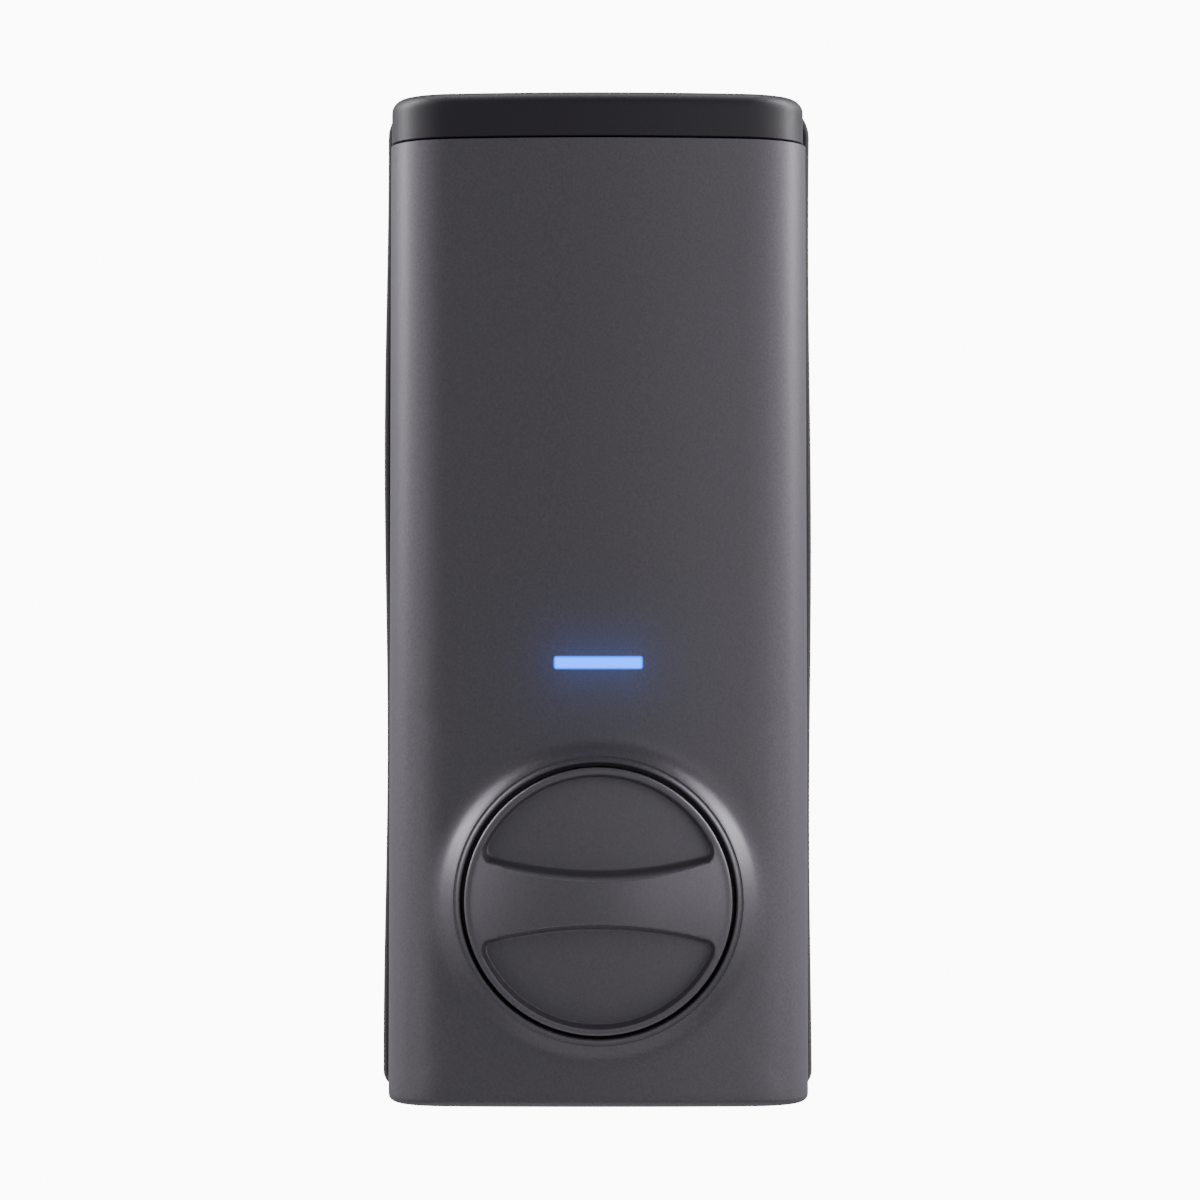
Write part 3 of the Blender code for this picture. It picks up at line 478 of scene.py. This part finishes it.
# %% Section of the body
HALF_HEIGHT = 83.5
TOP_HALF_WIDTH, WIDENING = 34.75, 0.5
CROWN = 150.0
CROWN_CENTRE = 120.0
CORNER = 12.0
BACK_RIM = -2.3
FRONT = CROWN_CENTRE - CROWN
KNOB_Z = -50.0
CROWN_STEPS, FRONT_STEPS, SIDE_STEPS, BACK_STEPS = 20, 6, 12, 4


def half_width(z):
    """Half the body's width at a height."""
    return TOP_HALF_WIDTH + WIDENING * (HALF_HEIGHT - z) / (2 * HALF_HEIGHT)


def corner_centre(z):
    """Centre of the rounded corner at a height, as (x, y)."""
    x = half_width(z) - CORNER
    return x, CROWN_CENTRE - math.sqrt((CROWN - CORNER) ** 2 - x ** 2)


def section(z, inset=0.0, back=BACK_RIM):
    """The outline at a height, from the left back edge round the front to the right back edge."""
    x, y = corner_centre(z)
    roll = math.asin(x / (CROWN - CORNER))
    radius = CROWN - inset
    right = [(radius * math.sin(a), CROWN_CENTRE - radius * math.cos(a))
             for a in (roll * k / CROWN_STEPS for k in range(CROWN_STEPS + 1))]
    turns = [roll + (math.pi / 4 - roll) * k / FRONT_STEPS for k in range(1, FRONT_STEPS + 1)]
    turns += [math.pi / 4 * (1 + k / SIDE_STEPS) for k in range(1, SIDE_STEPS + 1)]
    right += [(x + (CORNER - inset) * math.sin(a), y - (CORNER - inset) * math.cos(a)) for a in turns]
    side = half_width(z) - inset
    right += [(side, y + (back - y) * k / BACK_STEPS) for k in range(1, BACK_STEPS + 1)]
    return [(-u, v, z) for u, v in reversed(right[1:])] + [(u, v, z) for u, v in right]


def skin(x, z):
    """How far forward the body's skin is at a point of its front."""
    centre, y = corner_centre(z)
    if abs(x) <= centre * CROWN / (CROWN - CORNER):
        return CROWN_CENTRE - math.sqrt(CROWN ** 2 - x ** 2)
    return y - math.sqrt(max(CORNER ** 2 - (abs(x) - centre) ** 2, 0))


print("section has", len(section(0)), "points and is", round(2 * half_width(0), 2), "mm wide at mid height")

# %% [markdown]
# ## The front cover
# The cover is one pressed and painted skin, so it is made as one grid of sections from bottom to top. Round
# the thumbturn the grid gives way to rings: the crowned face dips in a soft flare to a small flat lip, and
# then drops into the bore. Rings keep that flare smooth, which a straight boolean cut would not. The bottom
# edge is rounded, and it falls a little from the front towards the sides.

# %% Cover: a grid of sections
SEAM_LOW = 75.25
COVER_LOW, BOTTOM_ROUND = -83.97, 1.2
BOTTOM_FALL, BOTTOM_FALL_DEPTH = 0.75, 5.0
BOTTOM_ROWS, SQUARE_ROWS, UPPER_ROWS = 6, 36, 24
SQUARE = 31.6

bottom_rows = [(COVER_LOW + BOTTOM_ROUND * (1 - math.sin(b)), BOTTOM_ROUND * (1 - math.cos(b)))
               for b in (math.pi / 2 * (1 - k / BOTTOM_ROWS) for k in range(BOTTOM_ROWS + 1))]
square_rows = [(KNOB_Z - SQUARE + 2 * SQUARE * k / SQUARE_ROWS, 0.0) for k in range(SQUARE_ROWS + 1)]
upper_rows = [(KNOB_Z + SQUARE + (SEAM_LOW - KNOB_Z - SQUARE) * k / UPPER_ROWS, 0.0)
              for k in range(1, UPPER_ROWS + 1)]
rows = bottom_rows + square_rows + upper_rows
first_row, last_row = len(bottom_rows), len(bottom_rows) + SQUARE_ROWS
grid = [section(z, inset) for z, inset in rows]
for k in range(first_row):
    grid[k] = [(x, y, z - BOTTOM_FALL * (1 - math.exp((FRONT - y) / BOTTOM_FALL_DEPTH)))
               for x, y, z in grid[k]]
columns = len(grid[0])
middle = columns // 2
left, right = middle - CROWN_STEPS - FRONT_STEPS, middle + CROWN_STEPS + FRONT_STEPS

points, faces = stitch(grid, closed=False)
faces = [face for face in faces if not (left <= face[0] % columns < right
                                        and first_row <= face[0] // columns < last_row)]
rim = ([(first_row, c) for c in range(left, right)] + [(r, right) for r in range(first_row, last_row)]
       + [(last_row, c) for c in range(right, left, -1)]
       + [(r, left) for r in range(last_row, first_row, -1)])
edge = [grid[r][c] for r, c in rim]
print("grid:", len(rows), "rows of", columns, "points, with", len(edge), "points round its opening")

# %% [markdown]
# Each ring of the flare lies round the thumbturn's axis. The outermost ones blend from the square opening to
# a circle, the next ones follow the flare, and the last ones roll over the edge of the lip and go down into
# the bore.

# %% Cover: rings round the thumbturn
LIP, WELL = -31.6, 22.62
WELL_FLOOR, WELL_HOLE, WELL_END = -26.5, 12, -20
FLARE_FOOT, FLARE_MIDDLE, FLARE_SPREAD = 23.8, 24.8, 1.5
FLARE_TAIL = 0.0004
FLARE_OUTER, FLARE_STEP, FLARE_STEPS = 31, 0.2, 37
BLEND_STEPS = 4
BEAD = [(23.72, 0.06), (23.62, 0.08), (23.5, 0.02), (23.36, -0.13), (23.17, -0.36), (23.03, -0.47),
        (22.92, -0.52), (22.8, -0.5), (22.7, -0.42), (22.64, -0.3), (WELL, -0.15)]
WELL_CORNERS = [(WELL, WELL_FLOOR), (WELL_HOLE, WELL_FLOOR), (WELL_HOLE, WELL_END)]


def flare(radius, x, z):
    """Where the cover's face lies near the thumbturn, at a distance from its axis."""
    rise = 1 - math.tanh((radius - FLARE_MIDDLE) / FLARE_SPREAD)
    full = 1 - math.tanh((FLARE_FOOT - FLARE_MIDDLE) / FLARE_SPREAD)
    rise = max(rise - FLARE_TAIL, 0) / full
    return (1 - rise) * skin(x, z) + rise * LIP


angles = [math.atan2(z - KNOB_Z, x) for x, _, z in edge]


def ring_at(radius, height):
    """One ring round the thumbturn's axis. Its height is a number, or asks the flare."""
    ring = []
    for angle in angles:
        x, z = radius * math.cos(angle), KNOB_Z + radius * math.sin(angle)
        ring.append((x, flare(radius, x, z) if height is None else height, z))
    return ring


rings = [edge]
for k in range(1, BLEND_STEPS):
    ring = []
    for (x, _, z), angle in zip(edge, angles):
        u = x + (FLARE_OUTER * math.cos(angle) - x) * k / BLEND_STEPS
        v = z + (KNOB_Z + FLARE_OUTER * math.sin(angle) - z) * k / BLEND_STEPS
        ring.append((u, skin(u, v), v))
    rings.append(ring)
rings += [ring_at(FLARE_OUTER - FLARE_STEP * k, None) for k in range(FLARE_STEPS)]
rings += [ring_at(radius, LIP + rise) for radius, rise in BEAD]
rings += [ring_at(radius, y) for radius, y in WELL_CORNERS]
print("rings:", len(rings), "from the opening down to the bore")

# %% [markdown]
# The grid and the rings meet point for point. Faces over the bore's end, the bottom, the top and the back
# then close the skin into one solid.

# %% Cover: one closed skin
ring_points, ring_faces = stitch(rings)
start = len(points)
points += ring_points
faces += [tuple(start + k for k in face) for face in ring_faces]
faces.append(tuple(range(len(points) - len(angles), len(points))))
faces += [(k, k + 1, columns - 2 - k, columns - 1 - k) for k in range(middle - 1)]
faces.append((middle - 1, middle, middle + 1))
faces.append(tuple(range((len(rows) - 1) * columns, len(rows) * columns)))
faces.append(tuple([r * columns for r in range(len(rows))]
                   + [r * columns + columns - 1 for r in range(len(rows) - 1, -1, -1)]))
cover = mesh_piece("cover_shell", points, faces, graphite)
print("cover skin:", faces_of(cover), "triangles")

# %% [markdown]
# The skin is solid so far. A second, slightly smaller body is taken out of it to leave a 2 mm wall, less a
# collar that stays round the bore. The slot for the light and the two counterbores for the retaining screws
# then go through that wall.

# %% Hollow, slot and screw holes
WALL = 2.0
COLLAR = 24.5
LIGHT_SLOT = (-7.45, 7.45, -12.15, -9.85, 0.7)
RETAINING_X, RETAINING_Y, RETAINING_RADIUS = 18, -9, 3
hollow = tube("hollow", [section(z, WALL, back=1.0) for z in (WALL - HALF_HEIGHT, -40, 0, 40, 80)])
cut(hollow, turned("collar", [(COLLAR, -40), (COLLAR, -25)], (0, KNOB_Z), 96))
cut(cover, hollow)
cut(cover, prism("slot", rounded(*LIGHT_SLOT), -33, -20))
counterbore = [(RETAINING_RADIUS, -90), (RETAINING_RADIUS, -81.3)]
for x in (-RETAINING_X, RETAINING_X):
    cut(cover, turned("counterbore", counterbore, (x, RETAINING_Y), 32, axis="Z"))
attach(cover, "housing")
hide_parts("front_cover")
print("cover shell:", faces_of(cover), "triangles")

# %% [markdown]
# ## The top cap
# The cap closes the battery drawer. It follows the same section a quarter of a millimetre inside the cover,
# with a rounded top edge, and it is smooth black plastic instead of paint.

# %% Cap
CAP_LOW = 75.55
CAP_EDGE, CAP_STEP = 0.15, 1.6
CAP_ROUND, CAP_ROUND_STEPS = 2.5, 10
CAP_INSET, CAP_SHIFT = 0.25, -0.15
CAP_WALL, CAP_CEILING = 2.25, 81.5
CAP_FALL, CAP_FALL_FROM, CAP_FALL_SPAN, CAP_FALL_DEPTH = 0.45, 79, 4.5, 27


def cap_ring(z, inset):
    """The cap's outline at a height. Its front sinks a little towards the rounded top edge."""
    sink = CAP_FALL * max((z - CAP_FALL_FROM) / CAP_FALL_SPAN, 0)
    return [(x + CAP_SHIFT, y, z - sink * y / -CAP_FALL_DEPTH) for x, y, z in section(z, inset)]


cap_rows = [(CAP_LOW, CAP_INSET + CAP_EDGE), (CAP_LOW + CAP_EDGE, CAP_INSET)]
cap_rows += [(CAP_LOW + CAP_STEP * k, CAP_INSET) for k in (1, 2, 3)]
for k in range(CAP_ROUND_STEPS + 1):
    turn = math.pi / 2 * k / CAP_ROUND_STEPS
    cap_rows.append((HALF_HEIGHT - CAP_ROUND * (1 - math.sin(turn)),
                     CAP_INSET + CAP_ROUND * (1 - math.cos(turn))))
cap = tube("cap", [cap_ring(z, inset) for z, inset in cap_rows], cap_black)
inside_rows = ((70, CAP_WALL), (80.8, CAP_WALL), (CAP_CEILING, 3.0))
cut(cap, tube("inside", [section(z, inset, back=BACK_RIM - 2) for z, inset in inside_rows]))
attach(cap, "battery_drawer")
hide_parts("top_cap")
print("cap:", faces_of(cap), "triangles")

# %% [markdown]
# ## The thumbturn
# The thumbturn is a low dome with a finger pocket pressed in above and below its grip bar. A field of
# heights suits that better than cuts: every point of a round grid asks how far it is inside a pocket, and
# blends from the dome to the pocket's floor. The bar's tall sides slope more than the rim's, as they do on a
# cast knob. The grid's rings lie closest together near the rim, where the walls are steepest.

# %% Shape of the thumbturn's face
KNOB_APEX, KNOB_RIM, KNOB_FLOOR = -39.0, -33.5, -32.0
KNOB_RADIUS = 21.9
DOME, DOME_EDGE = 42.5, 20.9
POCKET_EDGE, BAR_HOLLOW = 20.75, 60.7
UPPER_HOLLOW, LOWER_HOLLOW = 64.6, -64.15
POCKET_CORNER = 1.9
WALL_SPREAD, WALL_SLOPE = 0.95, 0.2
WALL_START, WALL_STEEPNESS, WALL_SOFTNESS = 0.12, 1.4, 0.35
BOWL_SINK, BOWL_RISE, BOWL_RADIUS = 0.95, 1.4, 20


def dome(radius):
    """Height of the knob's crown at a distance from its axis."""
    return min(KNOB_APEX + DOME - math.sqrt(DOME ** 2 - min(radius, DOME_EDGE) ** 2), KNOB_RIM)


def pocket(x, z):
    """How far a point is into a finger pocket: 0 outside, 1 on its floor."""
    radius = math.hypot(x, z)
    depth = KNOB_FLOOR - dome(radius)
    hollow_centre = UPPER_HOLLOW if z > 0 else LOWER_HOLLOW
    side = (math.hypot(x, z - hollow_centre) - BAR_HOLLOW) / (WALL_SPREAD + WALL_SLOPE * depth)
    a, b = side + POCKET_CORNER, radius - POCKET_EDGE + POCKET_CORNER
    inside = min(max(a, b), 0) + math.hypot(max(a, 0), max(b, 0)) - POCKET_CORNER
    fall = min(max(WALL_START - inside, 0.0) * WALL_STEEPNESS, 1.0)
    even = fall * fall * (3 - 2 * fall)
    sudden = 1 - (1 - fall) ** 4 * (1 + 4 * fall)
    return even * WALL_SOFTNESS + sudden * (1 - WALL_SOFTNESS)


def knob_point(radius, turn):
    """A point of the thumbturn's face: the dome, a pocket's bowl-shaped floor, or the wall between them."""
    x, z = radius * math.cos(turn), radius * math.sin(turn)
    into = pocket(x, z)
    floor_depth = KNOB_FLOOR + BOWL_SINK - BOWL_RISE * (1 - (radius / BOWL_RADIUS) ** 2)
    return x, (1 - into) * dome(radius) + into * floor_depth, KNOB_Z + z


print("into a pocket:", round(pocket(0, 0), 2), "on the bar and", round(pocket(0, 15), 2), "above it")

# %% Thumbturn
KNOB_SEGMENTS = 480
knob_turns = [2 * math.pi * k / KNOB_SEGMENTS for k in range(KNOB_SEGMENTS)]
knob_radii = [0.4 * k for k in range(1, 8)] + [3 + 0.15 * k for k in range(40)]
knob_radii += [9 + 0.25 * k for k in range(32)] + [17 + 0.075 * k for k in range(53)]
rings = [[knob_point(radius, turn) for turn in knob_turns] for radius in knob_radii]
SKIRT = [(21.3, KNOB_RIM), (21.6, KNOB_RIM + 0.07), (21.8, KNOB_RIM + 0.2), (KNOB_RADIUS, KNOB_RIM + 0.45),
         (KNOB_RADIUS, -27.0), (19.8, -27.0), (19.8, -30.0), (8.0, -30.0), (8.0, -20.2), (5.3, -20.2),
         (5.3, -31.0)]
for radius, y in SKIRT:
    rings.append([(radius * math.cos(turn), y, KNOB_Z + radius * math.sin(turn)) for turn in knob_turns])
knob_points, knob_faces = stitch(rings)
tip = len(knob_points)
knob_points.append((0, KNOB_APEX, KNOB_Z))
knob_faces += [(tip, (k + 1) % KNOB_SEGMENTS, k) for k in range(KNOB_SEGMENTS)]
knob_faces.append(tuple(range(tip - KNOB_SEGMENTS, tip)))
knob = mesh_piece("thumbturn_cap", knob_points, knob_faces, graphite_knob, sharp=50)
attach(knob, "thumbturn")
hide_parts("knob")
print("thumbturn:", faces_of(knob), "triangles")

# %% [markdown]
# ## The gasket
# A rubber ring fills the gap between the unit and the door. It is cut a little larger than the cover, and
# its long edges swell in slow waves between the places where the plate's hooks and screws pinch it. The
# straight ring is made first. Geometry Nodes then push each long edge out by a cosine of the height, with
# the size of the wave, its length and its place as inputs. The tree works on one side at a time.

# %% Gasket blank
GASKET_HALF_WIDTH, GASKET_HALF_HEIGHT = 36, 84.75
GASKET_BACK, GASKET_FRONT = 0.0, -2.0
LOW_CORNER, HIGH_CORNER = 3.2, 6
SIDE_LOW, SIDE_HIGH = -81.5, 78.7
INNER_EDGE = (26, -77, 75, 4, 4, -73, 71)
LONG_STEPS, CORNER_STEPS = 80, 8
GASKET_PROFILE = [(1.45, GASKET_FRONT), (1.35, -1.1), (0.85, -1.1), (0.75, -1.9), (0.45, GASKET_FRONT),
                  (0.15, -1.9), (0.0, -1.6), (0.0, GASKET_BACK)]


def long_outline(half_width, low, high, low_radius, high_radius, side_low, side_high):
    """A rounded rectangle with many stations along its long sides."""
    half = 2 * (CORNER_STEPS + 1)
    high_corners = rounded(-half_width, half_width, low, high, high_radius, CORNER_STEPS)[:half]
    low_corners = rounded(-half_width, half_width, low, high, low_radius, CORNER_STEPS)[half:]
    steps = [side_low + (side_high - side_low) * k / LONG_STEPS for k in range(1, LONG_STEPS)]
    return (high_corners + [(-half_width, z) for z in reversed(steps)]
            + low_corners + [(half_width, z) for z in steps])


def gasket_blank():
    """The straight ring, with a groove a little way in from its soft outer edge."""
    inner = long_outline(*INNER_EDGE)
    rings = [[(x, y, z) for x, z in inner] for y in (GASKET_BACK, GASKET_FRONT)]
    for inset, y in GASKET_PROFILE:
        outline = long_outline(GASKET_HALF_WIDTH - inset, inset - GASKET_HALF_HEIGHT,
                               GASKET_HALF_HEIGHT - inset, LOW_CORNER - inset, HIGH_CORNER - inset,
                               SIDE_LOW, SIDE_HIGH)
        rings.append([(x, y, z) for x, z in outline])
    return stitch(rings + rings[:1])


gasket = mesh_piece("gasket_ring", *gasket_blank(), rubber)
print("gasket blank:", faces_of(gasket), "triangles")

# %% Geometry Nodes: waves along the edges
def close_tree(tree, geometry, material, leave):
    """End a Geometry Nodes tree: make every copy real, and give the result its material."""
    realize = tree.nodes.new("GeometryNodeRealizeInstances")
    coat = tree.nodes.new("GeometryNodeSetMaterial")
    tree.links.new(geometry, realize.inputs["Geometry"])
    tree.links.new(realize.outputs["Geometry"], coat.inputs["Geometry"])
    tree.links.new(material, coat.inputs["Material"])
    tree.links.new(coat.outputs["Geometry"], leave["Geometry"])


FREE_EDGE = 31.5 * MM
edge_wave, entry, leave = new_group(
    "edge_wave", "GeometryNodeTree",
    [("Geometry", "Geometry"), ("Side", "Float", 1.0), ("Reach", "Float", 0.0005), ("Swell", "Float", 0.0003),
     ("Wave length", "Float", 0.103), ("Wave centre", "Float", 0.025), ("Lean", "Float", -0.0018),
     ("Material", "Material")],
    [("Geometry", "Geometry")])
here = edge_wave.nodes.new("GeometryNodeInputPosition")
apart = edge_wave.nodes.new("ShaderNodeSeparateXYZ")
edge_wave.links.new(here.outputs["Position"], apart.inputs["Vector"])


def in_wave(operation, first, second=0.0):
    """A Math node in the wave tree."""
    return math_node(edge_wave, operation, first, second)


offset = in_wave("SUBTRACT", apart.outputs["Z"], entry["Wave centre"])
turn = in_wave("DIVIDE", in_wave("MULTIPLY", offset, 2 * math.pi), entry["Wave length"])
push = in_wave("MULTIPLY", in_wave("COSINE", turn), entry["Swell"])
push = in_wave("ADD", push, entry["Reach"])
push = in_wave("ADD", push, in_wave("MULTIPLY", apart.outputs["Z"], entry["Lean"]))
shift = edge_wave.nodes.new("ShaderNodeCombineXYZ")
edge_wave.links.new(in_wave("MULTIPLY", push, entry["Side"]), shift.inputs["X"])
on_edge = in_wave("GREATER_THAN", in_wave("MULTIPLY", apart.outputs["X"], entry["Side"]), FREE_EDGE)
move = edge_wave.nodes.new("GeometryNodeSetPosition")
edge_wave.links.new(entry["Geometry"], move.inputs["Geometry"])
edge_wave.links.new(on_edge, move.inputs["Selection"])
edge_wave.links.new(shift.outputs["Vector"], move.inputs["Offset"])
close_tree(edge_wave, move.outputs["Geometry"], entry["Material"], leave)
print("edge wave tree:", len(edge_wave.nodes), "nodes")


# %% Run the waves
def run_nodes(piece, tree, values):
    """Run one Geometry Nodes tree on a piece, and leave a plain mesh."""
    modifier = piece.modifiers.new(tree.name, "NODES")
    modifier.node_group = tree
    keys = {item.name: item.identifier for item in tree.interface.items_tree if item.in_out == "INPUT"}
    for key, value in values.items():
        modifier[keys[key]] = value
    apply_modifier(piece, modifier)


WAVES = [(-1.0, 0.00055, 0.0003, 0.103, 0.025, -0.0018), (1.0, 0.00045, 0.0002, 0.1, 0.01, -0.0016)]
for side, reach, swell, wave_length, wave_centre, lean in WAVES:
    run_nodes(gasket, edge_wave, {"Side": side, "Reach": reach, "Swell": swell, "Wave length": wave_length,
                                  "Wave centre": wave_centre, "Lean": lean, "Material": rubber})
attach(gasket, "housing")
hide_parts("door_gasket")
print("gasket is", round(gasket.dimensions.x / MM, 2), "mm wide")

# %% [markdown]
# ## Screws on the board and the gearbox
# Eight small pan-head screws hold the circuit board and the gearbox cover to their posts. They are all one
# screw, so one is modelled, with a cross cut into its head, and Geometry Nodes put a copy on every point of
# a list of post tops. The size of the screw is an input, and the copies are made real at the end of the
# tree. The Random Value node has one socket for each kind of value, so its float sockets are picked by their
# number.

# %% One screw
BOARD_POSTS = [(-19, 8), (9, 8), (-22, -17.5), (6.5, -17.5)]
GEARBOX_POSTS = [(-19.5, -67.5), (17.5, -69), (-19.5, -27), (28.5, -24.5)]
HEAD_PROFILE = [(1.0, 0.6), (1.0, 0.0), (2.1, 0.0), (2.25, -0.25), (2.15, -0.8), (1.7, -1.2), (0.9, -1.4)]
screw = turned("screw", HEAD_PROFILE, (0, 0), 32, zinc)
for half_x, half_z in ((1.2, 0.22), (0.22, 1.2)):
    cut(screw, prism("cross", rounded(-half_x, half_x, -half_z, half_z, 0.05, 2), -2.0, -0.7))
print("one screw:", faces_of(screw), "triangles")

# %% Geometry Nodes: a screw on every post
def copies_on_points(tree, entry, leave, source_name, axis, angle, size=None):
    """Put a copy of an object on every point, turned about one axis, and close the tree."""
    source = tree.nodes.new("GeometryNodeObjectInfo")
    copies = tree.nodes.new("GeometryNodeInstanceOnPoints")
    turn = tree.nodes.new("ShaderNodeCombineXYZ")
    tree.links.new(entry[source_name], source.inputs["Object"])
    tree.links.new(entry["Geometry"], copies.inputs["Points"])
    tree.links.new(source.outputs["Geometry"], copies.inputs["Instance"])
    tree.links.new(angle, turn.inputs[axis])
    tree.links.new(turn.outputs["Vector"], copies.inputs["Rotation"])
    if size:
        tree.links.new(size, copies.inputs["Scale"])
    close_tree(tree, copies.outputs["Instances"], entry["Material"], leave)


FLOAT_MAX, FLOAT_VALUE = 3, 1
on_posts, entry, leave = new_group(
    "screw_on_each_post", "GeometryNodeTree",
    [("Geometry", "Geometry"), ("Screw", "Object"), ("Size", "Float", 1.0), ("Turn seed", "Int", 7),
     ("Material", "Material")],
    [("Geometry", "Geometry")])
angle = on_posts.nodes.new("FunctionNodeRandomValue")
angle.data_type = "FLOAT"
angle.inputs[FLOAT_MAX].default_value = math.pi / 2
on_posts.links.new(entry["Turn seed"], angle.inputs["Seed"])
copies_on_points(on_posts, entry, leave, "Screw", "Y", angle.outputs[FLOAT_VALUE], entry["Size"])
BOARD_POST_Y, GEARBOX_POST_Y = -21.0, -18.6
posts = [(x, BOARD_POST_Y, z) for x, z in BOARD_POSTS] + [(x, GEARBOX_POST_Y, z) for x, z in GEARBOX_POSTS]
post_screws = mesh_piece("post_screws", posts, [], zinc)
run_nodes(post_screws, on_posts, {"Screw": screw, "Size": 1.0, "Turn seed": 7, "Material": zinc})
bpy.data.objects.remove(screw, do_unlink=True)
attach(post_screws, "housing")
print("post screws:", len(posts), "with", faces_of(post_screws), "triangles")

# %% [markdown]
# ## The four cells
# All four cells are one turned can with a small button at its positive end. Each point of the can carries
# its distance from the flat end, so that the printed sleeve knows which end it is on whichever way up a cell
# lies. Geometry Nodes put the can at four places, and turn over the ones whose upside_down flag is 1.

# %% One cell
cell_boxes = [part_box(f"battery_{number}") for number in (1, 2, 3, 4)]
CELL_LENGTH = (cell_boxes[0][1][2] - cell_boxes[0][0][2]) / MM
BUTTON_HEIGHT = 1.2
CELL_BODY = CELL_LENGTH - BUTTON_HEIGHT
cell_profile = [(5.4, 0.3), (5.8, 0.0), (6.6, 0.0), (6.95, 0.15), (7.1, 0.5), (7.1, CELL_BODY - 0.6),
                (6.95, CELL_BODY - 0.15), (6.5, CELL_BODY), (3.1, CELL_BODY), (2.8, CELL_BODY + 0.15),
                (2.7, CELL_LENGTH - 0.25), (2.45, CELL_LENGTH)]
cell = turned("cell", cell_profile, (0, 0), 72, sleeve, axis="Z")
along = cell.data.attributes.new("along", "FLOAT", "POINT")
along.data.foreach_set("value", [point.co.z for point in cell.data.vertices])
print("one cell:", faces_of(cell), "triangles,", round(CELL_LENGTH, 2), "mm long")

# %% Geometry Nodes: four cells
in_bays, entry, leave = new_group(
    "cell_in_each_bay", "GeometryNodeTree",
    [("Geometry", "Geometry"), ("Cell", "Object"), ("Material", "Material")],
    [("Geometry", "Geometry")])
flag = in_bays.nodes.new("GeometryNodeInputNamedAttribute")
flag.data_type = "FLOAT"
flag.inputs["Name"].default_value = "upside_down"
half_turn = math_node(in_bays, "MULTIPLY", flag.outputs["Attribute"], math.pi)
copies_on_points(in_bays, entry, leave, "Cell", "X", half_turn)
bays = []
for number, (low, high) in enumerate(cell_boxes):
    flat_end = high if number % 2 else low
    bays.append(((low[0] + high[0]) / 2 / MM, (low[1] + high[1]) / 2 / MM, flat_end[2] / MM))
cells = mesh_piece("cells", bays, [], sleeve)
flags = cells.data.attributes.new("upside_down", "FLOAT", "POINT")
flags.data.foreach_set("value", [0.0, 1.0, 0.0, 1.0])
run_nodes(cells, in_bays, {"Cell": cell, "Material": sleeve})
bpy.data.objects.remove(cell, do_unlink=True)
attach(cells, "battery_drawer")
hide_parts("battery_1", "battery_2", "battery_3", "battery_4")
print("cells:", len(bays), "with", faces_of(cells), "triangles")

# %% [markdown]
# ## Patterns on the cells and the circuit board
# A cell's sleeve stops short of its two bare ends, and a copper coloured band marks the positive one. The
# board has copper tracks under its green lacquer. The bands follow the distance each can carries, and the
# tracks are laid out in the board's own coordinates, so both stay put when the parts move.

# %% Patterns on cells and board
BARE_END, COPPER_BAND = 0.9, 12
TRACK_THRESHOLD, TRACK_STRENGTH = 0.82, 0.7


def mask_into(material, mask, colour):
    """Mix a second colour into a material's base colour where a mask is 1."""
    tree = material.node_tree
    base = tree.nodes["Principled BSDF"].inputs["Base Color"]
    tree.links.new(mix_colour(tree, mask, base.links[0].from_socket, colour), base)


def track_lines(tree, direction, scale):
    """A mask of thin wavy lines across a surface."""
    place = next(node for node in tree.nodes if node.type == "TEX_COORD")
    lines = tree.nodes.new("ShaderNodeTexWave")
    lines.bands_direction = direction
    for key, value in (("Scale", scale), ("Distortion", 3.0), ("Detail", 1.0), ("Detail Scale", 0.6)):
        lines.inputs[key].default_value = value
    tree.links.new(place.outputs["Object"], lines.inputs["Vector"])
    return math_node(tree, "GREATER_THAN", lines.outputs["Fac"], TRACK_THRESHOLD)


cell_tree = sleeve.node_tree
carried = cell_tree.nodes.new("ShaderNodeAttribute")
carried.attribute_name = "along"
from_flat_end = carried.outputs["Fac"]
band = math_node(cell_tree, "GREATER_THAN", from_flat_end, (CELL_BODY - COPPER_BAND) * MM)
bare = math_node(cell_tree, "MAXIMUM", math_node(cell_tree, "LESS_THAN", from_flat_end, BARE_END * MM),
                 math_node(cell_tree, "GREATER_THAN", from_flat_end, (CELL_BODY - BARE_END) * MM))
mask_into(sleeve, band, (0.45, 0.2, 0.07))
mask_into(sleeve, bare, (0.62, 0.62, 0.6))
cell_tree.links.new(bare, cell_tree.nodes["Principled BSDF"].inputs["Metallic"])
board_tree = board_green.node_tree
tracks = math_node(board_tree, "MAXIMUM", track_lines(board_tree, "X", 330),
                   track_lines(board_tree, "Z", 260))
mask_into(board_green, math_node(board_tree, "MULTIPLY", tracks, TRACK_STRENGTH), (0.03, 0.21, 0.10))
print("patterned", sleeve.name, "and", board_green.name)

# %% [markdown]
# ## Finishes on the mechanical parts
# The gears, boards, leads and larger screws keep their mechanical shapes. Each one takes the finish of its
# material slot in the record.

# %% Finishes by slot
FINISH_OF_SLOT = {
    "paint": graphite, "cap_plastic": cap_black, "gasket_rubber": rubber, "nylon": nylon, "zinc": zinc,
    "steel": steel, "sintered_steel": sintered, "brass": brass, "bronze": bronze, "nickel": nickel,
    "circuit": board_green, "chip": epoxy, "shield": shield, "socket": cream, "led": lamp_body,
    "magnet": nickel, "cell_sleeve": sleeve, "red_lead": red_wire, "black_lead": black_wire,
    "light_guide": guide_light,
}
slot_of = {row["node"]: row["material_slot"] for row in frame["record"]["subparts"]}
for name, node in nodes.items():
    node.data.materials.clear()
    node.data.materials.append(FINISH_OF_SLOT[slot_of[name]])
print("finished", len(nodes), "mechanical parts")
